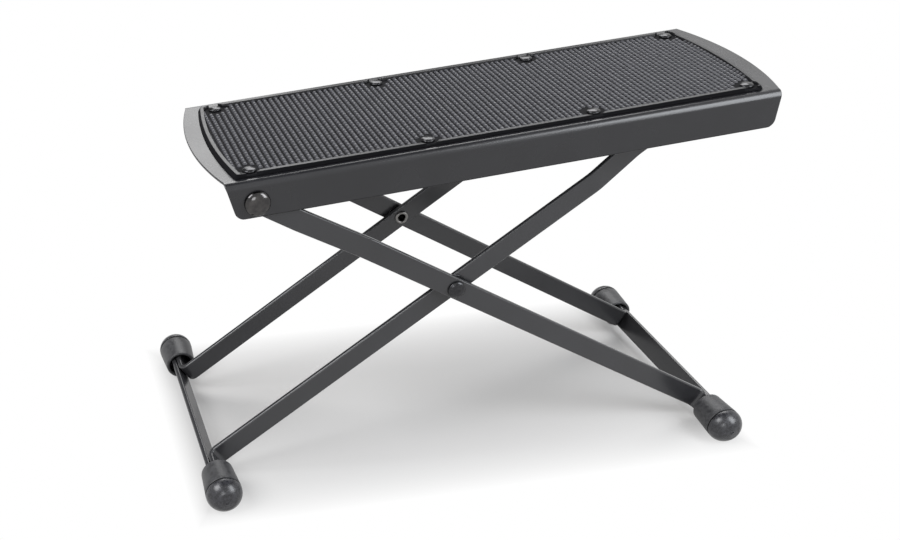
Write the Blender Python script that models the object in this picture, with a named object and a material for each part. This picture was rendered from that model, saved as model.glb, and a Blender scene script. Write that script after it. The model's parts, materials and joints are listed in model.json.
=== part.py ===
"""Folding guitar footrest: a sheet-steel platform with a rubber mat, on two crossed leg frames.

The outer leg frame hinges on rivets in the platform's flanges at its left end and stands on its right
feet. The inner leg frame stands on its left feet, and its lock rod carries the platform by two toothed
racks. Each frame and the platform is modelled in its own axes, under an empty on the axis that it turns
about: local X runs along the bar or the platform, Y across the object and Z out of the bar's upper edge
or the platform's top.
"""
import math

import bpy
import bmesh
from mathutils import Matrix, Vector

MM = 0.001
DEG = math.pi / 180

# Linkage
OUTER_SLOPE = 30.3 * DEG    # outer legs to the floor, at the height shown
TOP_REACH = 131.2 * MM      # outer leg, top pivot to centre pivot
OUTER_REACH = 192 * MM      # outer leg, centre pivot to foot axis
ROD_REACH = 148 * MM        # inner leg, centre pivot to lock rod
INNER_REACH = 165.8 * MM    # inner leg, centre pivot to foot axis
PIVOT_DEPTH = 12 * MM       # top pivots and lock rod, below the platform's top
PIVOT_INSET = 15.6 * MM     # top pivots, in from the platform's left corners

# Clearances
SEAT_GAP = 0.3 * MM         # between pieces that touch on the real object
HOLE_GAP = 0.3 * MM         # round a shank or a stack in its hole
OVERRUN = 5 * MM            # how far a cutter runs past what it cuts
MERGE_DISTANCE = 0.0005 * MM    # points nearer than this are one point

# Platform
PLATE_LENGTH = 300 * MM     # from corner to corner
PLATE_WIDTH = 110 * MM
PLATE_SHEET = 1.2 * MM
PLATE_BOW = 7.6 * MM        # how far each end's arc stands out past its corners
BEND_RADIUS = 3 * MM        # outside of the folds
FLANGE_DEPTH = 20 * MM
FLANGE_LEFT_TAPER = 4.8 * MM
FLANGE_RIGHT_TAPER = 2.8 * MM
FLANGE_CORNER = 4 * MM

# Rubber mat
MAT_FRONT_MARGIN = 5 * MM   # in from the platform's front flange
MAT_BACK_MARGIN = 11 * MM   # in from its back flange
MAT_END_MARGIN = 11.6 * MM  # in from the crowns of the platform's ends
MAT_BOW = 4.5 * MM
MAT_HEIGHT = 2.5 * MM
MAT_RIM_WIDTH = 2 * MM
MAT_FIELD_DROP = 0.5 * MM   # from the rim's top to the field's tips
MAT_CORNER = 1.5 * MM
MAT_DRIFT = 3.7 * MM        # how far its middle is stretched to the right on its rivets
RIB_PITCH = 3.08 * MM
RIB_FOOT = 2.5 * MM         # width
RIB_HEIGHT = 0.8 * MM
RIB_ROOT = 0.4 * MM         # how far a rib reaches into the mat below it
RIB_LAP = 0.6 * MM          # how far it reaches into the rim
RIB_TIP_SHARE = 0.42        # of its foot

# Mat rivets
FIXING_COUNT = 4            # along each long side
FIXING_INSET = 5 * MM       # in from the mat's long edges
FIXING_END_INSET = 6.5 * MM     # in from its corners, along the long edges
FIXING_HEAD = 3.5 * MM      # radius
FIXING_POCKET_GAP = 2.1 * MM    # round the head, in the mat's pocket, which opens through the mat's edge
FIXING_POCKET_FLOOR = 1.1 * MM
FIXING_CROWN = 1.5 * MM
FIXING_RIM = 0.4 * MM
FIXING_SHANK = 2 * MM       # radius
FIXING_BARB_LIP = 0.7 * MM  # how far the barb stands out from the shank
FIXING_BARB_HEIGHT = 1.6 * MM

# Flat bar of the legs and crossbars
BAR_WIDTH = 12 * MM
BAR_THICKNESS = 3 * MM
BAR_EDGE = 0.8 * MM         # radius of its rolled edges
FOOT_BEND = 4.2 * MM        # radius of the foot bend, to the middle of the bar
JOGGLE_BEND = 30 * MM       # radius of the joggle's bends, to the middle of the bar

# Legs across the object
OUTER_JOGGLE = 4.8 * MM     # how far the outer leg's top steps outwards
OUTER_JOGGLE_START = 105 * MM   # from the centre pivot, towards the top pivot
OUTER_JOGGLE_END = 60 * MM
INNER_JOGGLE = 4.8 * MM     # how far the inner leg's top steps inwards
INNER_JOGGLE_START = 93 * MM    # from the centre pivot, towards the rod
INNER_JOGGLE_END = 121 * MM
TAB_END_GAP = 2 * MM        # from the foot tabs' ends to the bottom of the caps' bores

# Rivets, washers and rod
TOP_SHANK = 3 * MM          # radius
TOP_HEAD = 6.4 * MM         # radius
TOP_CROWN = 3.4 * MM
TOP_HEAD_RIM = 0.5 * MM
TOP_TAIL = 4.6 * MM         # radius
TOP_TAIL_CROWN = 1 * MM
TOP_WASHER = 6.2 * MM       # radius
TOP_WASHER_THICKNESS = 1 * MM
CENTRE_SHANK = 2.9 * MM     # radius
CENTRE_HEAD = 5 * MM        # radius
CENTRE_CROWN = 1.8 * MM
CENTRE_HEAD_RIM = 0.4 * MM
CENTRE_FLARE = 4.1 * MM     # radius
CENTRE_FLARE_CROWN = 1 * MM
CENTRE_BORE = 2.2 * MM      # radius
CENTRE_BORE_DEPTH = 5 * MM
CENTRE_WASHER = 7 * MM      # radius
CENTRE_WASHER_THICKNESS = 0.5 * MM
ROD_RADIUS = 3 * MM
ROD_NECK = 2.4 * MM         # radius
ROD_HEAD = 4.2 * MM         # radius
ROD_HEAD_CROWN = 1.5 * MM
ROD_HEAD_RIM = 0.3 * MM

# Racks
RACK_SIDE_GAP = 6 * MM      # from the toothed walls to the inner legs' tops
RACK_END = 8 * MM           # from the middle of the last notch to the rack's end
RACK_SHEET = 1.5 * MM
RACK_FOOT = 13 * MM         # width of the wall that lies under the platform
NOTCH_COUNT = 5
NOTCH_PITCH = 10 * MM
NOTCH_RADIUS = 3.3 * MM

# Foot caps
CAP_WALL = 1.9 * MM         # at its mouth
CAP_TAPER = 1.2 * MM        # how much wider it is where it stands on the floor
CAP_SIDE_GAP = 0.6 * MM     # from the platform's side to its mouth
CAP_LENGTH = 28 * MM
CAP_DOME = 9 * MM           # length of the domed end
CAP_GROOVE = 0.35 * MM      # depth and half width of the moulding line before the dome
CAP_LIP = 0.9 * MM          # radius of the mouth's rounded edge
CAP_BORE_DEPTH = 20.5 * MM
CAP_NUB = 1 * MM            # radius of the moulding mark on the dome
CAP_NUB_HEIGHT = 0.3 * MM
CAP_NUB_LAND_SHARE = 2.5    # the dome ends flat this many times as wide as the mark

# Facets
ROUND_SIDES = 24
SMALL_SIDES = 16
DOME_STEPS = 4
FLARE_STEPS = 6
LIP_STEPS = 4
EDGE_STEPS = 2
JOGGLE_STEPS = 2
BEND_STEPS = 5
END_STEPS = 5
MAT_CORNER_STEPS = 3
ARC_STEPS = 16
END_TIP_SHARE = 0.65        # of a step, from a round end's tip to its first ring
EDGE_LIMIT_SHARE = 0.9      # of half the bar's width, the most that its edges may be rounded
SMOOTH_ANGLE = 35 * DEG

# Colours, roughness and metallic values
POWDER_COAT = ("satin_black_powder_coat", (0.030, 0.030, 0.032), 0.42, 0.0)
RUBBER_MAT = ("black_mat_rubber", (0.022, 0.022, 0.023), 0.55, 0.0)
CAP_RUBBER = ("black_cap_rubber", (0.035, 0.035, 0.036), 0.60, 0.0)
DARK_NICKEL = ("dark_nickel_plate", (0.18, 0.17, 0.16), 0.22, 1.0)
BRIGHT_STEEL = ("zinc_plated_steel", (0.55, 0.54, 0.52), 0.30, 1.0)
BLACK_OXIDE = ("black_oxide_steel", (0.045, 0.045, 0.048), 0.35, 0.6)

# Worked out from the values above
STACK_HALF = BAR_THICKNESS / 2 + SEAT_GAP / 2    # foot tab and crossbar, each side of the foot axis
CAP_BORE = math.hypot(BAR_WIDTH / 2, STACK_HALF + BAR_THICKNESS / 2) + HOLE_GAP
CAP_MOUTH_RADIUS = CAP_BORE + CAP_WALL
CAP_RADIUS = CAP_MOUTH_RADIUS + CAP_TAPER
FOOT_HEIGHT = CAP_RADIUS
CENTRE_HEIGHT = FOOT_HEIGHT + OUTER_REACH * math.sin(OUTER_SLOPE)
INNER_SLOPE = math.asin((CENTRE_HEIGHT - FOOT_HEIGHT) / INNER_REACH)
TOP_X = -TOP_REACH * math.cos(OUTER_SLOPE)
TOP_HEIGHT = CENTRE_HEIGHT + TOP_REACH * math.sin(OUTER_SLOPE)
ROD_X = ROD_REACH * math.cos(INNER_SLOPE)
ROD_HEIGHT = CENTRE_HEIGHT + ROD_REACH * math.sin(INNER_SLOPE)
PLATE_SLOPE = math.atan2(ROD_HEIGHT - TOP_HEIGHT, ROD_X - TOP_X)
PLATE_MIDDLE = PLATE_LENGTH / 2 - PIVOT_INSET    # from the top pivots
OBJECT_LEFT = -INNER_REACH * math.cos(INNER_SLOPE) - CAP_RADIUS
OBJECT_RIGHT = (TOP_X + (PLATE_MIDDLE + PLATE_LENGTH / 2 + PLATE_BOW) * math.cos(PLATE_SLOPE)
                - (PIVOT_DEPTH - PLATE_SHEET) * math.sin(PLATE_SLOPE))
CENTRE_X = -(OBJECT_LEFT + OBJECT_RIGHT) / 2     # puts the origin under the middle of the object

FLANGE_FACE = PLATE_WIDTH / 2
OUTER_TOP_MIDDLE = FLANGE_FACE - PLATE_SHEET - SEAT_GAP - BAR_THICKNESS / 2
OUTER_MIDDLE = OUTER_TOP_MIDDLE - OUTER_JOGGLE
OUTER_LEG_FACE = OUTER_MIDDLE + BAR_THICKNESS / 2
INNER_MIDDLE = OUTER_MIDDLE - BAR_THICKNESS - CENTRE_WASHER_THICKNESS - 2 * SEAT_GAP
INNER_TOP_MIDDLE = INNER_MIDDLE - INNER_JOGGLE
CAP_START = FLANGE_FACE + CAP_SIDE_GAP           # the caps' mouths
TAB_END = CAP_START + CAP_BORE_DEPTH - TAB_END_GAP
ROD_SPAN = math.hypot(ROD_X - TOP_X, ROD_HEIGHT - TOP_HEIGHT)
RACK_MIDDLE = ROD_SPAN + NOTCH_PITCH * (NOTCH_COUNT - 1) / 2
RACK_HALF = NOTCH_PITCH * (NOTCH_COUNT - 1) / 2 + RACK_END
RACK_FACE = INNER_TOP_MIDDLE - BAR_THICKNESS / 2 - RACK_SIDE_GAP
MAT_LENGTH = PLATE_LENGTH + 2 * (PLATE_BOW - MAT_END_MARGIN)     # over the crowns of its arcs
MAT_WIDTH = PLATE_WIDTH - MAT_FRONT_MARGIN - MAT_BACK_MARGIN
MAT_SHIFT = (MAT_BACK_MARGIN - MAT_FRONT_MARGIN) / 2    # it lies this far nearer the front
FIXING_SPACING = (MAT_LENGTH - 2 * (MAT_BOW + FIXING_END_INSET)) / (FIXING_COUNT - 1)
FIXING_POCKET = FIXING_HEAD + FIXING_POCKET_GAP
FIXING_BARB = FIXING_SHANK + FIXING_BARB_LIP
FIELD_FLOOR = MAT_HEIGHT - MAT_FIELD_DROP - RIB_HEIGHT     # above the mat's underside


def clear_scene():
    for old in list(bpy.data.objects):
        bpy.data.objects.remove(old, do_unlink=True)


def material(look):
    name, colour, roughness, metallic = look
    found = bpy.data.materials.get(name)
    if found:
        return found
    made = bpy.data.materials.new(name)
    made.use_nodes = True
    shader = made.node_tree.nodes["Principled BSDF"]
    shader.inputs["Base Color"].default_value = (*colour, 1)
    shader.inputs["Roughness"].default_value = roughness
    shader.inputs["Metallic"].default_value = metallic
    made.diffuse_color = (*colour, 1)
    return made


def frame_empty(name, x, z, turn):
    """An empty on a hinge axis; turn lowers its +X end."""
    empty = bpy.data.objects.new(name, None)
    empty.location = (x, 0, z)
    empty.rotation_euler = (0, turn, 0)
    bpy.context.collection.objects.link(empty)
    return empty


def place(mesh, name, parent, look, place_at=(0, 0, 0), turn=(0, 0, 0)):
    piece = bpy.data.objects.new(name, mesh)
    if look and not mesh.materials:
        mesh.materials.append(material(look))
    piece.parent = parent
    piece.location = place_at
    piece.rotation_euler = turn
    bpy.context.collection.objects.link(piece)
    return piece


def mesh_from(shape, name):
    bmesh.ops.remove_doubles(shape, verts=shape.verts, dist=MERGE_DISTANCE)
    bmesh.ops.recalc_face_normals(shape, faces=shape.faces)
    mesh = bpy.data.meshes.new(name)
    shape.to_mesh(mesh)
    shape.free()
    mesh.shade_smooth()
    mesh.set_sharp_from_angle(angle=SMOOTH_ANGLE)
    return mesh


def loft(rings, name, closed_ends=True, join_ends=False):
    """A skin over rings of points, each ring with as many points as the next."""
    shape = bmesh.new()
    rows = [[shape.verts.new(point) for point in ring] for ring in rings]
    pairs = list(zip(rows, rows[1:]))
    if join_ends:
        pairs.append((rows[-1], rows[0]))
    for low, high in pairs:
        for i in range(len(low)):
            j = (i + 1) % len(low)
            shape.faces.new((low[i], low[j], high[j], high[i]))
    if closed_ends:
        shape.faces.new(rows[0])
        shape.faces.new(rows[-1])
    return mesh_from(shape, name)


def turned(profile, name, sides, hollow=False):
    """A solid turned about Z from (radius, height) points, listed from the axis round to the axis again."""
    if hollow:
        rings = [[(r * math.cos(a), r * math.sin(a), z) for r, z in profile]
                 for a in (2 * math.pi * i / sides for i in range(sides))]
        return loft(rings, name, closed_ends=False, join_ends=True)
    shape = bmesh.new()
    rows = []
    for radius, height in profile:
        if radius == 0:
            rows.append([shape.verts.new((0, 0, height))])
            continue
        angles = (2 * math.pi * i / sides for i in range(sides))
        rows.append([shape.verts.new((radius * math.cos(a), radius * math.sin(a), height)) for a in angles])
    for low, high in zip(rows, rows[1:]):
        for i in range(sides):
            j = (i + 1) % sides
            corners = [low[i % len(low)], low[j % len(low)], high[j % len(high)], high[i % len(high)]]
            shape.faces.new(list(dict.fromkeys(corners)))
    return mesh_from(shape, name)


def dome(radius, rim, crown, base):
    """Profile points of a domed head that stands on height base, from its rim in to the axis."""
    points = [(radius, base), (radius, base + rim)]
    for i in range(1, DOME_STEPS + 1):
        angle = math.pi / 2 * i / DOME_STEPS
        points.append((radius * math.cos(angle), base + rim + (crown - rim) * math.sin(angle)))
    points[-1] = (0, base + crown)
    return points


def combine(piece, operation, mesh, place_at, turn):
    other = place(mesh, f"{piece.name}_{operation.lower()}", piece.parent, None, place_at, turn)
    other.hide_render = True
    other.display_type = "WIRE"
    boolean = piece.modifiers.new(operation.lower(), "BOOLEAN")
    boolean.operation = operation
    boolean.solver = "EXACT"
    boolean.object = other


def cut(piece, cutter_mesh, place_at=(0, 0, 0), turn=(0, 0, 0)):
    combine(piece, "DIFFERENCE", cutter_mesh, place_at, turn)


def join(piece, mesh):
    combine(piece, "UNION", mesh, (0, 0, 0), (0, 0, 0))


def cylinders(places, name, sides):
    """One cutter mesh of upright cylinders, each (x, y, radius, bottom, top)."""
    shape = bmesh.new()
    for x, y, radius, bottom, top in places:
        angles = [2 * math.pi * i / sides for i in range(sides)]
        rows = [[shape.verts.new((x + radius * math.cos(a), y + radius * math.sin(a), z)) for a in angles]
                for z in (bottom, top)]
        for i in range(sides):
            j = (i + 1) % sides
            shape.faces.new((rows[0][i], rows[0][j], rows[1][j], rows[1][i]))
        shape.faces.new(rows[0])
        shape.faces.new(rows[1])
    return mesh_from(shape, name)


# Flat bars

def bent_path(corners, bends):
    """Points and directions along a line of (x, y) corners, each inner one bent to a (radius, steps)."""
    corners = [Vector(corner) for corner in corners]
    stations = [(corners[0], (corners[1] - corners[0]).normalized())]
    for before, corner, after, (radius, steps) in zip(corners, corners[1:], corners[2:], bends):
        into = (corner - before).normalized()
        out = (after - corner).normalized()
        angle = into.angle_signed(out)
        side = -1 if angle > 0 else 1
        back = radius * math.tan(abs(angle) / 2)
        start = corner - into * back
        centre = start + Vector((-into.y, into.x)) * radius * side
        for i in range(steps + 1):
            turn = Matrix.Rotation(-angle * i / steps, 2)
            stations.append((centre + turn @ (start - centre), turn @ into))
    stations.append((corners[-1], (corners[-1] - corners[-2]).normalized()))
    return stations


def bar_ring(point, heading, half_width):
    """The bar's section at a station: half_width along Z, the bar's thickness across the path."""
    across = Vector((-heading.y, heading.x))
    edge = min(BAR_EDGE, half_width * EDGE_LIMIT_SHARE)
    half_thickness = BAR_THICKNESS / 2
    ring = []
    for side, rise, first in ((1, 1, 0), (-1, 1, 1), (-1, -1, 2), (1, -1, 3)):
        for step in range(EDGE_STEPS + 1):
            angle = math.pi / 2 * (first + step / EDGE_STEPS)
            a = side * (half_thickness - edge) + edge * math.cos(angle)
            z = rise * (half_width - edge) + edge * math.sin(angle)
            ring.append((point.x + across.x * a, point.y + across.y * a, z))
    return ring


def bar_mesh(name, corners, bends, rounded_start=False):
    """A flat bar along (x, y) corners; a rounded start is a half round about the first corner."""
    stations = bent_path(corners, bends)
    rings = []
    if rounded_start:
        start, heading = stations[0]
        for i in range(END_STEPS):
            angle = math.pi / 2 * (1 - (i + 1 - END_TIP_SHARE) / END_STEPS)
            beyond = start - heading * (BAR_WIDTH / 2 * math.sin(angle))
            rings.append(bar_ring(beyond, heading, BAR_WIDTH / 2 * math.cos(angle)))
    rings += [bar_ring(point, heading, BAR_WIDTH / 2) for point, heading in stations]
    return loft(rings, name)


def leg_pair(name, parent, corners, holes):
    """The front leg and, turned over about the bar's length, the back one; corners' Y is to the front."""
    bends = [(JOGGLE_BEND, JOGGLE_STEPS), (JOGGLE_BEND, JOGGLE_STEPS), (FOOT_BEND, BEND_STEPS)]
    mesh = bar_mesh(name, [(x, -y) for x, y in corners], bends, rounded_start=True)
    for side, over in (("front", 0), ("back", math.pi)):
        leg = place(mesh, f"{name}_{side}", parent, POWDER_COAT, turn=(over, 0, 0))
        cut(leg, cylinders([(x, 0, radius, -PLATE_WIDTH, PLATE_WIDTH) for x, radius in holes],
                           name + "_holes", ROUND_SIDES), turn=(math.pi / 2, 0, 0))


def crossbar(name, parent, x):
    mesh = bar_mesh(name, [(x, -TAB_END), (x, TAB_END)], [])
    place(mesh, name, parent, POWDER_COAT)


def outer_legs(frame):
    tab_x = OUTER_REACH - STACK_HALF
    corners = [(-TOP_REACH, OUTER_TOP_MIDDLE), (-OUTER_JOGGLE_START, OUTER_TOP_MIDDLE),
               (-OUTER_JOGGLE_END, OUTER_MIDDLE), (tab_x, OUTER_MIDDLE), (tab_x, TAB_END)]
    holes = [(-TOP_REACH, TOP_SHANK + HOLE_GAP), (0, CENTRE_SHANK + HOLE_GAP)]
    leg_pair("outer_leg", frame, corners, holes)
    crossbar("outer_crossbar", frame, OUTER_REACH + STACK_HALF)


def inner_legs(frame):
    tab_x = -INNER_REACH + STACK_HALF
    corners = [(ROD_REACH, INNER_TOP_MIDDLE), (INNER_JOGGLE_END, INNER_TOP_MIDDLE),
               (INNER_JOGGLE_START, INNER_MIDDLE), (tab_x, INNER_MIDDLE), (tab_x, TAB_END)]
    holes = [(ROD_REACH, ROD_NECK + HOLE_GAP), (0, CENTRE_SHANK + HOLE_GAP)]
    leg_pair("inner_leg", frame, corners, holes)
    crossbar("inner_crossbar", frame, -INNER_REACH - STACK_HALF)


# Rivets, washers and rod

def front_and_back(mesh, name, frame, look, x, y, z=0):
    """Two turned pieces whose +Z points outwards, y out from the middle on each side."""
    place(mesh, name + "_front", frame, look, (x, -y, z), (math.pi / 2, 0, 0))
    place(mesh, name + "_back", frame, look, (x, y, z), (-math.pi / 2, 0, 0))


def washer(name, frame, look, x, bore, radius, inner_face, thickness):
    profile = [(bore, 0), (radius, 0), (radius, thickness), (bore, thickness)]
    front_and_back(turned(profile, name, ROUND_SIDES, hollow=True), name, frame, look, x, inner_face)


def top_rivets(frame):
    """Domed outside the flange, through flange, leg and washer, and headed over inside."""
    washer_face = OUTER_TOP_MIDDLE - BAR_THICKNESS / 2 - SEAT_GAP - TOP_WASHER_THICKNESS
    tail_face = washer_face - SEAT_GAP
    head_face = FLANGE_FACE + SEAT_GAP
    shank = head_face - tail_face
    tail = [(TOP_TAIL * math.sin(math.pi / 2 * i / DOME_STEPS),
             -TOP_TAIL_CROWN * math.cos(math.pi / 2 * i / DOME_STEPS)) for i in range(DOME_STEPS + 1)]
    tail[0] = (0, -TOP_TAIL_CROWN)
    profile = tail + [(TOP_SHANK, 0), (TOP_SHANK, shank)] + dome(TOP_HEAD, TOP_HEAD_RIM, TOP_CROWN, shank)
    front_and_back(turned(profile, "top_rivet", ROUND_SIDES), "top_rivet", frame, DARK_NICKEL, 0, tail_face)
    washer("top_washer", frame, BRIGHT_STEEL, 0, TOP_SHANK + HOLE_GAP, TOP_WASHER,
           washer_face, TOP_WASHER_THICKNESS)


def centre_rivets(frame):
    """Tubular rivets: domed on the outer leg, flared open on the inner leg."""
    flare_face = INNER_MIDDLE - BAR_THICKNESS / 2 - SEAT_GAP
    shank = OUTER_LEG_FACE + SEAT_GAP - flare_face
    flare = [(0, CENTRE_BORE_DEPTH), (CENTRE_BORE, CENTRE_BORE_DEPTH), (CENTRE_BORE, 0)]
    middle = (CENTRE_FLARE + CENTRE_BORE) / 2
    half = (CENTRE_FLARE - CENTRE_BORE) / 2
    for i in range(1, FLARE_STEPS):
        angle = math.pi * i / FLARE_STEPS
        flare.append((middle - half * math.cos(angle), -CENTRE_FLARE_CROWN * math.sin(angle)))
    profile = flare + [(CENTRE_FLARE, 0), (CENTRE_SHANK, 0), (CENTRE_SHANK, shank)]
    profile += dome(CENTRE_HEAD, CENTRE_HEAD_RIM, CENTRE_CROWN, shank)
    mesh = turned(profile, "centre_rivet", ROUND_SIDES)
    front_and_back(mesh, "centre_rivet", frame, BLACK_OXIDE, 0, flare_face)
    washer("centre_washer", frame, BLACK_OXIDE, 0, CENTRE_SHANK + HOLE_GAP, CENTRE_WASHER,
           INNER_MIDDLE + BAR_THICKNESS / 2 + SEAT_GAP, CENTRE_WASHER_THICKNESS)


def lock_rod(frame):
    """Turned bar with a neck through each inner leg and its ends headed over outside them."""
    shoulder = INNER_TOP_MIDDLE - BAR_THICKNESS / 2 - SEAT_GAP
    head_face = INNER_TOP_MIDDLE + BAR_THICKNESS / 2 + SEAT_GAP
    half = [(ROD_RADIUS, 0), (ROD_RADIUS, shoulder), (ROD_NECK, shoulder), (ROD_NECK, head_face)]
    half += dome(ROD_HEAD, ROD_HEAD_RIM, ROD_HEAD_CROWN, head_face)
    profile = [(radius, -height) for radius, height in reversed(half[1:])] + half[1:]
    place(turned(profile, "lock_rod", ROUND_SIDES), "lock_rod", frame, BRIGHT_STEEL,
          (ROD_REACH, 0, 0), (math.pi / 2, 0, 0))


# Foot caps

def cap_mesh():
    """Moulded cap, mouth at height 0: a bore for tab and crossbar, a tapered wall, a groove and a dome."""
    dome_start = CAP_LENGTH - CAP_DOME
    profile = [(0, CAP_BORE_DEPTH), (CAP_BORE, CAP_BORE_DEPTH)]
    for i in range(LIP_STEPS + 1):
        angle = math.pi * i / LIP_STEPS
        profile.append((CAP_BORE + CAP_WALL / 2 * (1 - math.cos(angle)), CAP_LIP * (1 - math.sin(angle))))
    groove = dome_start - CAP_GROOVE
    profile += [(CAP_RADIUS, groove - CAP_GROOVE), (CAP_RADIUS - CAP_GROOVE, groove), (CAP_RADIUS, dome_start)]
    for i in range(1, 2 * DOME_STEPS):
        angle = math.pi / 2 * i / (2 * DOME_STEPS)
        profile.append((CAP_RADIUS * math.cos(angle), dome_start + CAP_DOME * math.sin(angle)))
        if profile[-1][0] < CAP_NUB * CAP_NUB_LAND_SHARE:
            break
    nub_base = dome_start + CAP_DOME * math.sqrt(1 - (CAP_NUB / CAP_RADIUS) ** 2)
    profile += [(CAP_NUB, nub_base), (CAP_NUB, nub_base + CAP_NUB_HEIGHT), (0, nub_base + CAP_NUB_HEIGHT)]
    return turned(profile, "foot_cap", ROUND_SIDES)


def foot_caps(outer, inner):
    mesh = cap_mesh()
    front_and_back(mesh, "right_foot_cap", outer, CAP_RUBBER, OUTER_REACH, CAP_START)
    front_and_back(mesh, "left_foot_cap", inner, CAP_RUBBER, -INNER_REACH, CAP_START)


# Platform and what it carries

def bow(y, half_width, sagitta):
    """How far an end's arc stands out at y, between corners at plus and minus half_width."""
    radius = (half_width ** 2 + sagitta ** 2) / (2 * sagitta)
    return math.sqrt(radius ** 2 - min(abs(y), half_width) ** 2) - (radius - sagitta)


def plate_section():
    """Stations across the sheet, front to back: outer point, inner point and distance down the flange."""
    flat = PLATE_WIDTH / 2 - BEND_RADIUS
    inside = BEND_RADIUS - PLATE_SHEET
    half = []
    for i in range(END_STEPS + 1):
        angle = math.pi / 2 * i / END_STEPS
        down = FLANGE_DEPTH - FLANGE_CORNER * (1 - math.cos(angle))
        half.append((FLANGE_FACE, -down, FLANGE_FACE - PLATE_SHEET, -down, down))
    for i in range(BEND_STEPS + 1):
        angle = math.pi / 2 * i / BEND_STEPS
        y, z = math.cos(angle), math.sin(angle) - 1
        half.append((flat + BEND_RADIUS * y, BEND_RADIUS * z, flat + inside * y, inside * z - PLATE_SHEET,
                     -BEND_RADIUS * z))
    front = [(-a, b, -c, d, down) for a, b, c, d, down in half]
    middle = [(-flat * math.cos(math.pi * i / ARC_STEPS)) for i in range(1, ARC_STEPS)]
    top = [(y, 0, y, -PLATE_SHEET, 0) for y in middle]
    return front + top + list(reversed(half))


def flange_end(down, taper):
    """How far the platform's end draws in at a distance down the flange."""
    drawn = taper * down / FLANGE_DEPTH
    into_corner = down - (FLANGE_DEPTH - FLANGE_CORNER)
    if into_corner > 0:
        drawn += FLANGE_CORNER - math.sqrt(max(FLANGE_CORNER ** 2 - into_corner ** 2, 0))
    return drawn


def platform(frame):
    flat = PLATE_WIDTH / 2 - BEND_RADIUS
    loops = []
    for end, taper in ((-1, FLANGE_LEFT_TAPER), (1, FLANGE_RIGHT_TAPER)):
        outer, inner = [], []
        for y, z, inner_y, inner_z, down in plate_section():
            reach = PLATE_LENGTH / 2 + bow(y, flat, PLATE_BOW) - flange_end(down, taper)
            outer.append((PLATE_MIDDLE + end * reach, y, PIVOT_DEPTH + z))
            inner.append((PLATE_MIDDLE + end * reach, inner_y, PIVOT_DEPTH + inner_z))
        loops.append(outer + inner[::-1])
    shape = bmesh.new()
    rows = [[shape.verts.new(point) for point in loop] for loop in loops]
    count = len(rows[0])
    for i in range(count):
        j = (i + 1) % count
        shape.faces.new((rows[0][i], rows[0][j], rows[1][j], rows[1][i]))
    for row in rows:
        for i in range(count // 2 - 1):
            shape.faces.new((row[i], row[i + 1], row[count - 2 - i], row[count - 1 - i]))
    plate = place(mesh_from(shape, "platform"), "platform", frame, POWDER_COAT)
    holes = [(x, y, FIXING_SHANK + HOLE_GAP, PIVOT_DEPTH - OVERRUN, PIVOT_DEPTH + OVERRUN)
             for x, y in fixing_places()]
    cut(plate, cylinders(holes, "rivet_holes", SMALL_SIDES))
    pivots = [(0, 0, TOP_SHANK + HOLE_GAP, -PLATE_WIDTH, PLATE_WIDTH)]
    cut(plate, cylinders(pivots, "pivot_holes", ROUND_SIDES), turn=(math.pi / 2, 0, 0))


def stretched(x):
    """Where a point at x from the mat's middle lies once the mat is stretched between its end rivets."""
    end = FIXING_SPACING * (FIXING_COUNT - 1) / 2
    return x + MAT_DRIFT * (1 - (x / end) ** 2)


def fixing_places():
    """The mat rivets' (x, y), front row then back row, left to right."""
    first = -FIXING_SPACING * (FIXING_COUNT - 1) / 2
    rows = (-MAT_SHIFT - MAT_WIDTH / 2 + FIXING_INSET, -MAT_SHIFT + MAT_WIDTH / 2 - FIXING_INSET)
    xs = [PLATE_MIDDLE + stretched(first + FIXING_SPACING * i) for i in range(FIXING_COUNT)]
    return [(x, y) for y in rows for x in xs]


def mat_end(y, inset):
    """How far an end of the mat, drawn in by inset, lies from its middle at y."""
    return MAT_LENGTH / 2 - inset - MAT_BOW + bow(y, MAT_WIDTH / 2, MAT_BOW)


def mat_outline(inset, z):
    """The mat's outline drawn in by inset, with rounded corners and arced ends."""
    corner = max(MAT_CORNER - inset, SEAT_GAP)
    straight = MAT_WIDTH / 2 - inset - corner
    ys = [-straight * math.cos(math.pi * i / ARC_STEPS) for i in range(ARC_STEPS + 1)]
    corner_x = mat_end(straight, inset) - corner
    turns = [math.pi / 2 * i / MAT_CORNER_STEPS for i in range(MAT_CORNER_STEPS)]
    first = [(corner_x + corner * math.sin(turn), -straight - corner * math.cos(turn)) for turn in turns]
    last = [(x, -y) for x, y in reversed(first)]
    run = first + [(mat_end(y, inset), y) for y in ys] + last
    return [(PLATE_MIDDLE + end * x, end * y - MAT_SHIFT, z) for end in (1, -1) for x, y in run]


def rib_half(x):
    """Half the length of the rib at x from the mat's middle, or 0 where the end's rim leaves it no room."""
    whole = MAT_WIDTH / 2 - MAT_RIM_WIDTH + RIB_LAP
    into_bow = abs(x) + RIB_FOOT / 2 - mat_end(MAT_WIDTH / 2, MAT_RIM_WIDTH - RIB_LAP)
    if into_bow <= 0:
        return whole
    if into_bow >= MAT_BOW:
        return 0
    radius = ((MAT_WIDTH / 2) ** 2 + MAT_BOW ** 2) / (2 * MAT_BOW)
    return min(whole, math.sqrt(radius ** 2 - (radius - MAT_BOW + into_bow) ** 2))


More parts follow.
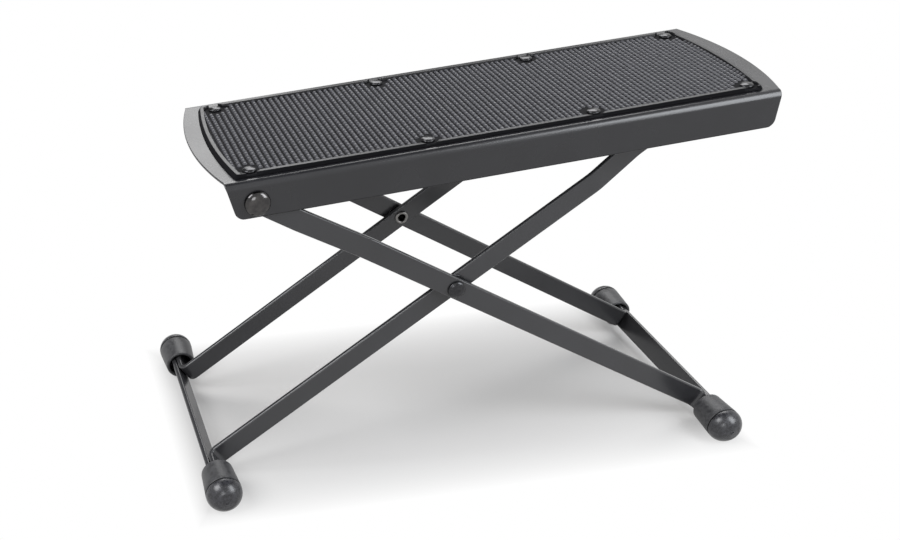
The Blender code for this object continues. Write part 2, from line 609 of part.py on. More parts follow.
def rib_mesh(floor):
    """The field's ribs across the mat, which stand on height floor and reach a little below it."""
    flare = (1 - RIB_TIP_SHARE) / RIB_HEIGHT
    count = int(MAT_LENGTH / 2 / RIB_PITCH)
    shape = bmesh.new()
    for x in (stretched(RIB_PITCH * i) for i in range(-count, count + 1)):
        half = rib_half(x)
        if half < RIB_PITCH:
            continue
        section = []
        for rise, share in ((-RIB_ROOT, 1 + flare * RIB_ROOT), (RIB_HEIGHT, RIB_TIP_SHARE)):
            section += [(PLATE_MIDDLE + x + side * share * RIB_FOOT / 2, floor + rise) for side in (-1, 1)]
        ends = [[shape.verts.new((a, y - MAT_SHIFT, z)) for a, z in section] for y in (-half, half)]
        for i, j in ((0, 1), (1, 3), (3, 2), (2, 0)):
            shape.faces.new((ends[0][i], ends[0][j], ends[1][j], ends[1][i]))
        for end in ends:
            shape.faces.new([end[i] for i in (0, 1, 3, 2)])
    return mesh_from(shape, "ribs")


def rubber_mat(frame):
    seat = PIVOT_DEPTH + SEAT_GAP
    top = seat + MAT_HEIGHT
    rings = [mat_outline(0, seat), mat_outline(0, top), mat_outline(MAT_RIM_WIDTH, top),
             mat_outline(MAT_RIM_WIDTH, seat + FIELD_FLOOR)]
    mat = place(loft(rings, "rubber_mat"), "rubber_mat", frame, RUBBER_MAT)
    join(mat, rib_mesh(seat + FIELD_FLOOR))
    pockets = [(x, y, FIXING_POCKET, seat + FIXING_POCKET_FLOOR, top + OVERRUN) for x, y in fixing_places()]
    shanks = [(x, y, FIXING_SHANK + HOLE_GAP, seat - OVERRUN, top + OVERRUN) for x, y in fixing_places()]
    cut(mat, cylinders(pockets, "pockets", SMALL_SIDES))
    cut(mat, cylinders(shanks, "shank_holes", SMALL_SIDES))


def mat_rivets(frame):
    """Snap rivets: head in the mat's pocket, barb under the sheet. Height 0 is the head's underside."""
    head_face = PIVOT_DEPTH + SEAT_GAP + FIXING_POCKET_FLOOR + SEAT_GAP
    barb_top = PIVOT_DEPTH - PLATE_SHEET - SEAT_GAP - head_face
    profile = [(0, barb_top - FIXING_BARB_HEIGHT), (FIXING_SHANK, barb_top - FIXING_BARB_HEIGHT),
               (FIXING_BARB, barb_top), (FIXING_SHANK, barb_top), (FIXING_SHANK, 0)]
    profile += dome(FIXING_HEAD, FIXING_RIM, FIXING_CROWN, 0)
    mesh = turned(profile, "mat_rivet", SMALL_SIDES)
    for number, (x, y) in enumerate(fixing_places()):
        row = "front" if number < FIXING_COUNT else "back"
        name = f"mat_rivet_{row}_{number % FIXING_COUNT + 1}"
        place(mesh, name, frame, BLACK_OXIDE, (x, y, head_face))


def rack_meshes():
    """Angle strip about x = 0: a wall with the notches in its lower edge, and a foot under the sheet."""
    tips = ROD_RADIUS + SEAT_GAP
    top = PIVOT_DEPTH - PLATE_SHEET - SEAT_GAP
    edge = [(-RACK_HALF, top), (-RACK_HALF, tips)]
    for n in range(NOTCH_COUNT):
        x = (n - (NOTCH_COUNT - 1) / 2) * NOTCH_PITCH
        for i in range(2 * END_STEPS + 1):
            angle = math.pi * (1 - i / (2 * END_STEPS))
            edge.append((x + NOTCH_RADIUS * math.cos(angle), tips + NOTCH_RADIUS * math.sin(angle)))
    edge += [(RACK_HALF, tips), (RACK_HALF, top)]
    wall = loft([[(x, y, z) for x, z in edge] for y in (-RACK_FACE, -RACK_FACE + RACK_SHEET)], "rack")
    corners = [(-RACK_HALF, -RACK_FACE), (RACK_HALF, -RACK_FACE),
               (RACK_HALF, -RACK_FACE + RACK_FOOT), (-RACK_HALF, -RACK_FACE + RACK_FOOT)]
    foot = loft([[(x, y, z) for x, y in corners] for z in (top - RACK_SHEET, top)], "rack_foot")
    return wall, foot


def racks(frame):
    """One notch lies over the rod at the height shown, and the rest towards the platform's right end."""
    wall, foot = rack_meshes()
    for side, half_turn in (("front", 0), ("back", math.pi)):
        rack = place(wall, "rack_" + side, frame, BRIGHT_STEEL, (RACK_MIDDLE, 0, 0), (0, 0, half_turn))
        guide = place(foot, f"rack_{side}_foot_guide", frame, None, (RACK_MIDDLE, 0, 0), (0, 0, half_turn))
        guide.hide_render = True
        guide.display_type = "WIRE"
        union = rack.modifiers.new("foot", "BOOLEAN")
        union.operation = "UNION"
        union.solver = "EXACT"
        union.object = guide


def main():
    clear_scene()
    outer = frame_empty("outer_frame_axis", CENTRE_X, CENTRE_HEIGHT, OUTER_SLOPE)
    inner = frame_empty("inner_frame_axis", CENTRE_X, CENTRE_HEIGHT, -INNER_SLOPE)
    top = frame_empty("platform_axis", CENTRE_X + TOP_X, TOP_HEIGHT, -PLATE_SLOPE)
    outer_legs(outer)
    inner_legs(inner)
    centre_rivets(outer)
    lock_rod(inner)
    foot_caps(outer, inner)
    top_rivets(top)
    platform(top)
    rubber_mat(top)
    mat_rivets(top)
    racks(top)


main()
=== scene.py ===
"""Looks of a folding guitar footrest: steel platform and scissor legs, rubber mat and foot caps."""
import json
import math

import bmesh
import bpy
from mathutils import Matrix, Vector


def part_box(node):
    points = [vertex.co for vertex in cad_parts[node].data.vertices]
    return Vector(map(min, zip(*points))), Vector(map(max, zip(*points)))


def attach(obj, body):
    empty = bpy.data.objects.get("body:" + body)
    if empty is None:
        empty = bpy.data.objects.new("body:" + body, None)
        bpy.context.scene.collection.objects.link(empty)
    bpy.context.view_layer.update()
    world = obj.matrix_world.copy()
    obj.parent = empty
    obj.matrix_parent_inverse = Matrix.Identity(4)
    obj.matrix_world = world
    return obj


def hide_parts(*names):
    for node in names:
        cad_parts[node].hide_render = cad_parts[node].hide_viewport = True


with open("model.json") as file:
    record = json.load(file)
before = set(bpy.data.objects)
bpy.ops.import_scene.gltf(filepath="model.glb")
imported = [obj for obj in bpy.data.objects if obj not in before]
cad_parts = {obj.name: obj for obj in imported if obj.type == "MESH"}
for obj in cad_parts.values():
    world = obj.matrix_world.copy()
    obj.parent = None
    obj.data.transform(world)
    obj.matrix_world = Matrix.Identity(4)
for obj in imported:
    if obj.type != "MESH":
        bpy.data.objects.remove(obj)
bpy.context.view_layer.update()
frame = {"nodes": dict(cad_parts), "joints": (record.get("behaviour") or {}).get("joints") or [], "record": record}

MM = 0.001


# Outer leg frame: two legs of 12 x 3 mm flat steel bar, joggled below the platform's hinge and bent
# outwards at the foot, with a straight crossbar against the bent tabs. It is painted with black
# powder coat, baked on, which has a fine orange peel and a slightly cloudy gloss. Its coat is a
# shade lighter than the platform's: painted light, for the light that the white floor throws up on
# the legs.
BAR_WIDTH = 12 * MM
BAR_THICKNESS = 3 * MM
BAR_EDGE = 1 * MM           # radius of its long edges
BAR_EDGE_STEPS = 5
BAR_EDGE_MOST = 0.98        # of half a side, where the bar narrows at its ends
END_EASE = 0.5 * MM         # broken corners at its cut ends
END_STEPS = 10              # rings round a half-round end
END_START = 0.35            # how far into the first step the tip is, in steps
FOOT_BEND = 4.2 * MM
FOOT_BEND_STEPS = 14
JOGGLE_BEND = 30 * MM
JOGGLE_BEND_STEPS = 6
TAB_END = 74.1 * MM         # from the footrest's middle to the ends of tabs and crossbars
STACK_HALF = 1.65 * MM      # from a foot's axis to the middle of its tab and of its crossbar
OUTER_TOP_SIDE = 52 * MM    # from the footrest's middle to the middle of the leg's top
OUTER_SIDE = 47.2 * MM      # and of the rest of the leg
OUTER_JOGGLE_TOP = -105 * MM    # along the leg from the scissor's centre
OUTER_JOGGLE_FOOT = -60 * MM
TOP_HOLE = 3.3 * MM
CENTRE_HOLE = 3.2 * MM
SHARP_ANGLE = math.radians(38)
WELD = 0.001 * MM           # points nearer than this are one


def shader_of(name):
    """A new material, with its node tree and its shader."""
    made = bpy.data.materials.new(name)
    made.use_nodes = True
    return made, made.node_tree, made.node_tree.nodes["Principled BSDF"]


def node(tree, kind, **settings):
    """A new node in a tree, with settings such as its operation."""
    made = tree.nodes.new(kind)
    for name, value in settings.items():
        setattr(made, name, value)
    return made


def noise(tree, size, detail=2.0, roughness=0.5, stretch=None):
    """Noise whose grain is about size metres, in the object's own coordinates."""
    place = node(tree, "ShaderNodeTexCoord")
    source = place.outputs["Object"]
    if stretch:
        mapping = node(tree, "ShaderNodeMapping")
        mapping.inputs["Scale"].default_value = stretch
        tree.links.new(source, mapping.inputs["Vector"])
        source = mapping.outputs["Vector"]
    made = node(tree, "ShaderNodeTexNoise")
    made.inputs["Scale"].default_value = 1 / size
    made.inputs["Detail"].default_value = detail
    made.inputs["Roughness"].default_value = roughness
    tree.links.new(source, made.inputs["Vector"])
    return made.outputs["Fac"]


def coloured(tree, shader, source, dark, light, dark_to=0.3, light_from=0.7):
    """Base colour from dark to light, by the middle range of a noise."""
    ramp = node(tree, "ShaderNodeValToRGB")
    ramp.color_ramp.elements[0].position = dark_to
    ramp.color_ramp.elements[0].color = (*dark, 1)
    ramp.color_ramp.elements[1].position = light_from
    ramp.color_ramp.elements[1].color = (*light, 1)
    tree.links.new(source, ramp.inputs["Fac"])
    tree.links.new(ramp.outputs["Color"], shader.inputs["Base Color"])


def glossed(tree, shader, source, glossy, dull, glossy_to=0.3, dull_from=0.7):
    """Roughness from glossy to dull, by the middle range of a noise."""
    made = node(tree, "ShaderNodeMapRange")
    for name, value in (("From Min", glossy_to), ("From Max", dull_from),
                        ("To Min", glossy), ("To Max", dull)):
        made.inputs[name].default_value = value
    tree.links.new(source, made.inputs["Value"])
    tree.links.new(made.outputs["Result"], shader.inputs["Roughness"])


def bumps(tree, shader, *layers):
    """Bump layers, each a (height source, depth in metres), chained into the shader's normal."""
    last = None
    for source, depth in layers:
        made = node(tree, "ShaderNodeBump")
        made.inputs["Distance"].default_value = depth
        tree.links.new(source, made.inputs["Height"])
        if last:
            tree.links.new(last, made.inputs["Normal"])
        last = made.outputs["Normal"]
    tree.links.new(last, shader.inputs["Normal"])


def powder(name, dark, light, glossy, dull):
    """Black powder coat, cloudy in tone and gloss, with an orange peel and a fine grain."""
    made, tree, shader = shader_of(name)
    cloud = noise(tree, 30 * MM, detail=3)
    peel = noise(tree, 0.55 * MM, detail=1)
    grain = noise(tree, 0.12 * MM)
    coloured(tree, shader, cloud, dark, light)
    glossed(tree, shader, cloud, glossy, dull)
    bumps(tree, shader, (peel, 0.002 * MM), (grain, 0.0008 * MM))
    return made


# the frames' coat, painted a shade lighter than the platform's as painted floor light
frame_coat_floor_lit = powder("frame_coat_floor_lit", (0.0235, 0.0235, 0.0250), (0.028, 0.028, 0.0305), 0.22, 0.27)


def piece_from(shape, name, material, place):
    """Makes an object of a bmesh, put in place through its vertices, with its faces pointing out."""
    bmesh.ops.remove_doubles(shape, verts=shape.verts, dist=WELD)
    bmesh.ops.recalc_face_normals(shape, faces=shape.faces)
    shape.transform(place)
    mesh = bpy.data.meshes.new(name)
    shape.to_mesh(mesh)
    shape.free()
    mesh.materials.append(material)
    mesh.shade_smooth()
    mesh.set_sharp_from_angle(angle=SHARP_ANGLE)
    piece = bpy.data.objects.new(name, mesh)
    bpy.context.scene.collection.objects.link(piece)
    return piece


def loft(rings):
    """A closed skin over rings of points, each with as many points as the next."""
    shape = bmesh.new()
    rows = [[shape.verts.new(point) for point in ring] for ring in rings]
    for low, high in zip(rows, rows[1:]):
        for i in range(len(low)):
            j = (i + 1) % len(low)
            shape.faces.new((low[i], low[j], high[j], high[i]))
    shape.faces.new(rows[0])
    shape.faces.new(rows[-1])
    return shape


def built(piece):
    """Builds the piece's modifiers into its mesh."""
    graph = bpy.context.evaluated_depsgraph_get()
    final = piece.evaluated_get(graph)
    mesh = bpy.data.meshes.new_from_object(final, preserve_all_data_layers=True, depsgraph=graph)
    old = piece.data
    piece.modifiers.clear()
    piece.data = mesh
    bpy.data.meshes.remove(old)


def drill(piece, place, holes, sides=48):
    """Cuts round holes, each (x, y, radius, bottom, top), along the place's Z."""
    shape = bmesh.new()
    angles = [2 * math.pi * i / sides for i in range(sides)]
    for x, y, radius, bottom, top in holes:
        circle = [(x + radius * math.cos(a), y + radius * math.sin(a)) for a in angles]
        low, high = [[shape.verts.new((a, b, z)) for a, b in circle] for z in (bottom, top)]
        for i in range(sides):
            j = (i + 1) % sides
            shape.faces.new((low[i], low[j], high[j], high[i]))
        shape.faces.new(low)
        shape.faces.new(high)
    cutter = piece_from(shape, "cutter", piece.data.materials[0], place)
    cut = piece.modifiers.new("holes", "BOOLEAN")
    cut.operation = "DIFFERENCE"
    cut.solver = "EXACT"
    cut.object = cutter
    built(piece)
    bpy.data.objects.remove(cutter)


def even_shading(piece):
    """Flat faces keep their own normals beside small rounded edges."""
    weighted = piece.modifiers.new("even shading", "WEIGHTED_NORMAL")
    weighted.mode = "FACE_AREA"
    weighted.weight = 100
    weighted.keep_sharp = True
    built(piece)


def fit(piece, body, node_name):
    """The piece moves with a body, and takes a solid's place."""
    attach(piece, body)
    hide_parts(node_name)


def bent_path(corners, bends):
    """Stations (point, heading) along a line of corners, each inner one bent to (radius, steps)."""
    corners = [Vector(corner) for corner in corners]
    stations = [(corners[0], (corners[1] - corners[0]).normalized())]
    for before, corner, after, (radius, steps) in zip(corners, corners[1:], corners[2:], bends):
        into = (corner - before).normalized()
        out = (after - corner).normalized()
        angle = into.angle_signed(out)
        side = -1 if angle > 0 else 1
        start = corner - into * radius * math.tan(abs(angle) / 2)
        pivot = start + Vector((-into.y, into.x)) * radius * side
        for i in range(steps + 1):
            turn = Matrix.Rotation(-angle * i / steps, 2)
            stations.append((pivot + turn @ (start - pivot), turn @ into))
    stations.append((corners[-1], (corners[-1] - corners[-2]).normalized()))
    return stations


def bar_ring(point, heading, half_width=BAR_WIDTH / 2, half_thickness=BAR_THICKNESS / 2):
    """The bar's rounded section at a station: its width along Z, its thickness across the path."""
    across = Vector((-heading.y, heading.x))
    edge = min(BAR_EDGE, half_width * BAR_EDGE_MOST, half_thickness * BAR_EDGE_MOST)
    ring = []
    for side, rise, quarter in ((1, 1, 0), (-1, 1, 1), (-1, -1, 2), (1, -1, 3)):
        for step in range(BAR_EDGE_STEPS + 1):
            angle = math.pi / 2 * (quarter + step / BAR_EDGE_STEPS)
            out = side * (half_thickness - edge) + edge * math.cos(angle)
            up = rise * (half_width - edge) + edge * math.sin(angle)
            ring.append((point.x + across.x * out, point.y + across.y * out, up))
    return ring


def broken_ring(point, heading):
    """The bar's section at a cut end, smaller all round by the broken corners."""
    return bar_ring(point, heading, BAR_WIDTH / 2 - END_EASE, BAR_THICKNESS / 2 - END_EASE)


def leg(stations):
    """A bar along stations, half round at its first end and with broken corners at its last."""
    rings = []
    start, heading = stations[0]
    for i in range(END_STEPS):
        angle = math.pi / 2 * (1 - (i + END_START) / END_STEPS)
        beyond = start - heading * (BAR_WIDTH / 2 * math.sin(angle))
        rings.append(bar_ring(beyond, heading, BAR_WIDTH / 2 * math.cos(angle)))
    rings += [bar_ring(point, heading) for point, heading in stations[:-1]]
    end, heading = stations[-1]
    return loft(rings + [bar_ring(end - heading * END_EASE, heading), broken_ring(end, heading)])


def leg_pair(node_name, body, place, corners, holes):
    """Front and back legs. Corners are (x, y out from the middle); holes are (x, radius)."""
    bends = [(JOGGLE_BEND, JOGGLE_BEND_STEPS)] * 2 + [(FOOT_BEND, FOOT_BEND_STEPS)]
    across = place @ Matrix.Rotation(math.pi / 2, 4, "X")
    for side, out in (("front", -1), ("back", 1)):
        stations = bent_path([(x, out * y) for x, y in corners], bends)
        piece = piece_from(leg(stations), f"{node_name}_{side}_bar", frame_coat_floor_lit, place)
        drill(piece, across, [(x, 0, radius, -2 * TAB_END, 2 * TAB_END) for x, radius in holes])
        even_shading(piece)
        fit(piece, body, f"{node_name}_{side}")


def crossbar(node_name, body, place, x):
    """A straight bar across the feet, at x along the frame, with broken corners at both ends."""
    heading = Vector((0, 1))
    rings = [broken_ring(Vector((x, -TAB_END)), heading),
             bar_ring(Vector((x, END_EASE - TAB_END)), heading),
             bar_ring(Vector((x, TAB_END - END_EASE)), heading),
             broken_ring(Vector((x, TAB_END)), heading)]
    piece = piece_from(loft(rings), f"{node_name}_bar", frame_coat_floor_lit, place)
    even_shading(piece)
    fit(piece, body, node_name)


def middle(node_name):
    """The middle of a solid's box."""
    low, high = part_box(node_name)
    return (low + high) / 2


# X of this frame's own axes runs down the bar from the scissor's centre, and Z out of its edge.
joints = {joint["name"]: joint for joint in frame["joints"]}
centre = Vector(joints["scissor_fold"]["pos_m"])
hinge = Vector(joints["platform_turn"]["pos_m"])
right_foot = middle("right_foot_cap_front")
outer_slope = math.atan2(hinge.z - centre.z, centre.x - hinge.x)
outer_place = Matrix.Translation(centre) @ Matrix.Rotation(outer_slope, 4, "Y")
top_reach = (hinge - centre).length
outer_reach = math.hypot(right_foot.x - centre.x, right_foot.z - centre.z)
tab = outer_reach - STACK_HALF
leg_pair("outer_leg", "outer_frame", outer_place,
         [(-top_reach, OUTER_TOP_SIDE), (OUTER_JOGGLE_TOP, OUTER_TOP_SIDE),
          (OUTER_JOGGLE_FOOT, OUTER_SIDE), (tab, OUTER_SIDE), (tab, TAB_END)],
         [(-top_reach, TOP_HOLE), (0, CENTRE_HOLE)])
crossbar("outer_crossbar", "outer_frame", outer_place, outer_reach + STACK_HALF)


# Inner leg frame: the same bar and paint, crossed inside the outer legs. Its legs are joggled inwards
# at the top, where they are drilled for the lock rod, and bent out at the foot.
INNER_TOP_SIDE = 38.3 * MM
INNER_SIDE = 43.1 * MM
INNER_JOGGLE_TOP = 121 * MM
INNER_JOGGLE_FOOT = 93 * MM
ROD_HOLE = 2.7 * MM

left_foot = middle("left_foot_cap_front")
rod = middle("lock_rod")
inner_slope = math.atan2(rod.z - centre.z, rod.x - centre.x)
inner_place = Matrix.Translation(centre) @ Matrix.Rotation(-inner_slope, 4, "Y")
inner_reach = math.hypot(left_foot.x - centre.x, left_foot.z - centre.z)
rod_reach = math.hypot(rod.x - centre.x, rod.z - centre.z)
tab = STACK_HALF - inner_reach
leg_pair("inner_leg", "inner_frame", inner_place,
         [(rod_reach, INNER_TOP_SIDE), (INNER_JOGGLE_TOP, INNER_TOP_SIDE),
          (INNER_JOGGLE_FOOT, INNER_SIDE), (tab, INNER_SIDE), (tab, TAB_END)],
         [(rod_reach, ROD_HOLE), (0, CENTRE_HOLE)])
crossbar("inner_crossbar", "inner_frame", inner_place, -inner_reach - STACK_HALF)


# Centre rivets: tubular steel, black oxide, domed outside the outer leg and flared open inside the
# inner one, where the flare's coating is worn to bare metal. A thin washer lies between the legs.
SEAT_GAP = 0.3 * MM         # left between pieces that touch
CENTRE_SHANK = 2.9 * MM
CENTRE_FLARE = 4.1 * MM
CENTRE_FLARE_CROWN = 1 * MM
CENTRE_FLARE_BACK = 0.05 * MM    # how far the flare's back slopes down the shank
CENTRE_BORE = 2.2 * MM
CENTRE_BORE_DEPTH = 5 * MM
CENTRE_BORE_EASE = 0.3 * MM
CENTRE_BORE_MOUTH = 0.4 * MM
CENTRE_HEAD = 5 * MM
CENTRE_HEAD_RIM = 0.4 * MM
CENTRE_HEAD_CROWN = 2.2 * MM
CENTRE_WASHER = 7 * MM
CENTRE_WASHER_BORE = 3.2 * MM
CENTRE_WASHER_THICKNESS = 0.5 * MM
CENTRE_WASHER_EASE = 0.12 * MM
ROUND_SIDES = 64


def turned(profile, sides):
    """A solid turned about Z from (radius, height) points, from the axis round to the axis again."""
    shape = bmesh.new()
    rows = []
    for radius, height in profile:
        if radius == 0:
            rows.append([shape.verts.new((0, 0, height))])
            continue
        angles = [2 * math.pi * i / sides for i in range(sides)]
        circle = [(radius * math.cos(a), radius * math.sin(a), height) for a in angles]
        rows.append([shape.verts.new(point) for point in circle])
    if profile[0] == profile[-1] and profile[0][0] > 0:
        rows[-1] = rows[0]
    for low, high in zip(rows, rows[1:]):
        for i in range(sides):
            j = (i + 1) % sides
            corners = [low[i % len(low)], low[j % len(low)], high[j % len(high)], high[i % len(high)]]
            shape.faces.new(list(dict.fromkeys(corners)))
    return shape


def dome(radius, rim, crown, base, steps=12):
    """Profile of a domed head on height base, from its rim in to the axis. The rim's edge is eased."""
    ease = 0.18 * rim
    points = [(radius - ease, base), (radius, base + ease), (radius, base + rim)]
    for i in range(1, steps):
        angle = math.pi / 2 * i / steps
        points.append((radius * math.cos(angle), base + rim + (crown - rim) * math.sin(angle)))
    return points + [(0, base + crown)]


def half_round(inner, outer, base, crown, steps=12):
    """Profile of a rounded rim from an inner to an outer radius, down by crown from height base."""
    angles = [math.pi * i / steps for i in range(steps + 1)]
    ring, half = (inner + outer) / 2, (outer - inner) / 2
    return [(ring - half * math.cos(a), base - crown * math.sin(a)) for a in angles]


def washer(bore, radius, thickness, ease):
    """Profile of a flat washer, closed on itself."""
    return [(bore, 0), (radius - ease, 0), (radius, ease), (radius, thickness - ease),
            (radius - ease, thickness), (bore, thickness), (bore, 0)]


def outward(place, x, y, side):
    """A place whose +Z points out of the footrest's front or back, at y from its middle."""
    turn, sign = (math.pi / 2, -1) if side == "front" else (-math.pi / 2, 1)
    return place @ Matrix.Translation((x, sign * y, 0)) @ Matrix.Rotation(turn, 4, "X")


def turned_pair(profile, node_name, body, place, x, y, material, sides=ROUND_SIDES):
    """A front and a back piece, returned with their places."""
    pair = []
    for side in ("front", "back"):
        own_place = outward(place, x, y, side)
        piece = piece_from(turned(profile, sides), f"{node_name}_{side}_turned", material, own_place)
        fit(piece, body, f"{node_name}_{side}")
        pair.append((piece, own_place))
    return pair


def paint(piece, place, material, test):
    """Gives a material to the faces whose middle and normal, in the place's axes, pass the test."""
    piece.data.materials.append(material)
    back = place.inverted()
    for face in piece.data.polygons:
        if test(back @ face.center, back.to_3x3() @ face.normal):
            face.material_index = len(piece.data.materials) - 1


def plain(name, colour, roughness, specular=0.5, metallic=0):
    """A material with no pattern, for small or dark faces."""
    made, tree, shader = shader_of(name)
    shader.inputs["Base Color"].default_value = (*colour, 1)
    shader.inputs["Roughness"].default_value = roughness
    shader.inputs["Specular IOR Level"].default_value = specular
    shader.inputs["Metallic"].default_value = metallic
    return made


black_oxide, tree, shader = shader_of("black_oxide")
shader.inputs["Metallic"].default_value = 0.7
haze = noise(tree, 1.5 * MM, detail=4)
coloured(tree, shader, haze, (0.018, 0.018, 0.020), (0.040, 0.040, 0.042))
glossed(tree, shader, haze, 0.16, 0.26)
bumps(tree, shader, (noise(tree, 0.4 * MM), 0.006 * MM))
bare_steel = plain("bare_steel", (0.20, 0.195, 0.19), 0.32, metallic=1)

flare_face = INNER_SIDE - BAR_THICKNESS / 2 - SEAT_GAP
shank = OUTER_SIDE + BAR_THICKNESS / 2 + SEAT_GAP - flare_face
profile = [(0, CENTRE_BORE_DEPTH), (CENTRE_BORE - CENTRE_BORE_EASE, CENTRE_BORE_DEPTH),
           (CENTRE_BORE, CENTRE_BORE_DEPTH - CENTRE_BORE_EASE), (CENTRE_BORE, CENTRE_BORE_MOUTH)]
profile += half_round(CENTRE_BORE, CENTRE_FLARE, 0, CENTRE_FLARE_CROWN)
profile += [(CENTRE_SHANK, CENTRE_FLARE_BACK), (CENTRE_SHANK, shank)]
profile += dome(CENTRE_HEAD, CENTRE_HEAD_RIM, CENTRE_HEAD_CROWN, shank)
for piece, own_place in turned_pair(profile, "centre_rivet", "outer_frame", outer_place, 0, flare_face,
                                    black_oxide):
    paint(piece, own_place, bare_steel, lambda at, normal: at.z < 0)

washer_face = INNER_SIDE + BAR_THICKNESS / 2 + SEAT_GAP
profile = washer(CENTRE_WASHER_BORE, CENTRE_WASHER, CENTRE_WASHER_THICKNESS, CENTRE_WASHER_EASE)
turned_pair(profile, "centre_washer", "outer_frame", outer_place, 0, washer_face,
            black_oxide)


# Lock rod: bright zinc-plated steel between the inner legs' tops, necked where it passes through them
# and headed over outside. The platform's racks rest on it.
ROD_RADIUS = 3 * MM
ROD_NECK = 2.4 * MM
ROD_EASE = 0.3 * MM
ROD_HEAD = 4.2 * MM
ROD_HEAD_RIM = 0.3 * MM
ROD_HEAD_CROWN = 1.5 * MM
ROD_SIDES = 48

zinc, tree, shader = shader_of("zinc_plate")
shader.inputs["Metallic"].default_value = 1
haze = noise(tree, 4 * MM, detail=4)
drawn = noise(tree, 0.25 * MM, stretch=(1, 0.05, 1))
coloured(tree, shader, haze, (0.46, 0.45, 0.43), (0.60, 0.60, 0.59))
glossed(tree, shader, haze, 0.26, 0.42)
bumps(tree, shader, (drawn, 0.004 * MM))

shoulder = INNER_TOP_SIDE - BAR_THICKNESS / 2 - SEAT_GAP
head_face = INNER_TOP_SIDE + BAR_THICKNESS / 2 + SEAT_GAP
half = [(ROD_RADIUS, shoulder - ROD_EASE), (ROD_RADIUS - ROD_EASE, shoulder), (ROD_NECK, shoulder),
        (ROD_NECK, head_face)]
half += dome(ROD_HEAD, ROD_HEAD_RIM, ROD_HEAD_CROWN, head_face, steps=8)
profile = [(radius, -height) for radius, height in reversed(half)] + half
rod_place = outward(inner_place, rod_reach, 0, "front")
piece = piece_from(turned(profile, ROD_SIDES), "lock_rod_turned", zinc, rod_place)
fit(piece, "inner_frame", "lock_rod")


# Foot caps: soft black rubber mouldings, pushed over tab and crossbar together. Each widens from a
# thick rounded mouth to a moulding line, whose groove is painted near black as painted shade, and
# ends in a smoother dome with a small gate mark.
CAP_START = 55.6 * MM       # from the footrest's middle to the mouth
CAP_LENGTH = 28 * MM
CAP_DOME = 9 * MM
CAP_BORE = 7.08 * MM
CAP_BORE_DEPTH = 20.5 * MM
CAP_BORE_EASE = 0.5 * MM
CAP_WALL = 1.9 * MM
CAP_LIP = 0.9 * MM
CAP_GROOVE = 0.55 * MM      # depth and half width of the moulding line
CAP_GROOVE_BEFORE = 1.6     # from the end of the taper to the line's middle, in its depths
# Its points, each (deep, along), in its depths.
CAP_GROOVE_SHAPE = ((0.3, -0.9), (1, -0.2), (1, 0.2), (0.2, 0.8), (0, 1.4))
CAP_DISC = 5 * MM           # radius of the low disc on the dome's end
CAP_STEP = 0.3 * MM
CAP_DOME_STEPS = 18
CAP_SIDES = 72
GATE_MARK = 1 * MM
GATE_FLOOR = 0.8 * MM
GATE_DEPTH = 0.4 * MM
GATE_LIP = 0.05 * MM
GATE_CLEAR = 1.5 * GATE_MARK    # no point of the dome comes nearer to its middle

cap_rubber, tree, shader = shader_of("cap_rubber")
shader.inputs["Specular IOR Level"].default_value = 0.35
mottle = noise(tree, 2.2 * MM, detail=6, roughness=0.65)
skin = noise(tree, 0.35 * MM, detail=3, roughness=0.6)
coloured(tree, shader, mottle, (0.022, 0.022, 0.0235), (0.052, 0.052, 0.055), 0.38, 0.66)
glossed(tree, shader, mottle, 0.34, 0.55)
bumps(tree, shader, (mottle, 0.05 * MM), (skin, 0.02 * MM))

cap_end, tree, shader = shader_of("cap_end_rubber")
mottle = noise(tree, 1.8 * MM, detail=5, roughness=0.7)
coloured(tree, shader, mottle, (0.011, 0.011, 0.013), (0.034, 0.034, 0.039), 0.4, 0.62)
glossed(tree, shader, mottle, 0.22, 0.34)
bumps(tree, shader, (mottle, 0.03 * MM))
# near-black rubber in the moulding line's groove: painted shade
cap_groove_shade = plain("cap_groove_painted_shade", (0.006, 0.006, 0.0065), 0.6, specular=0.1)

cap_radius = left_foot.z
dome_start = CAP_LENGTH - CAP_DOME
groove = dome_start - CAP_GROOVE
mouth = CAP_BORE + CAP_WALL
taper_end = groove - CAP_GROOVE_BEFORE * CAP_GROOVE
profile = [(0, CAP_BORE_DEPTH), (CAP_BORE - CAP_BORE_EASE, CAP_BORE_DEPTH),
           (CAP_BORE, CAP_BORE_DEPTH - CAP_BORE_EASE)]
profile += half_round(CAP_BORE, mouth, CAP_LIP, CAP_LIP)
profile += [(mouth + (cap_radius - mouth) * share, CAP_LIP + (taper_end - CAP_LIP) * share)
            for share in (0.25, 0.5, 0.75, 1)]
profile += [(cap_radius - deep * CAP_GROOVE, groove + along * CAP_GROOVE)
            for deep, along in CAP_GROOVE_SHAPE]
for i in range(1, CAP_DOME_STEPS):
    angle = math.pi / 2 * i / CAP_DOME_STEPS
    step = CAP_STEP if angle > math.acos(CAP_DISC / cap_radius) else 0
    profile.append((cap_radius * math.cos(angle), dome_start + CAP_DOME * math.sin(angle) - step))
land = dome_start + CAP_DOME * math.sqrt(1 - (GATE_MARK / cap_radius) ** 2) - CAP_STEP
profile = [(radius, height) for radius, height in profile
           if radius > GATE_CLEAR or height <= CAP_BORE_DEPTH]
profile += [(GATE_MARK + GATE_LIP, land), (GATE_MARK, land + GATE_LIP),
            (GATE_FLOOR, land - GATE_DEPTH), (0, land - GATE_DEPTH)]


def in_the_line(at, normal):
    """True in the groove of the moulding line, where shade is painted."""
    return abs(at.z - groove) < CAP_GROOVE and normal.z > -0.9


for node_name, body, place, x in (("right_foot_cap", "outer_frame", outer_place, outer_reach),
                                  ("left_foot_cap", "inner_frame", inner_place, -inner_reach)):
    for piece, own_place in turned_pair(profile, node_name, body, place, x, CAP_START, cap_rubber,
                                        CAP_SIDES):
        paint(piece, own_place, cap_end, lambda at, normal: at.z > groove)
        paint(piece, own_place, cap_groove_shade, in_the_line)
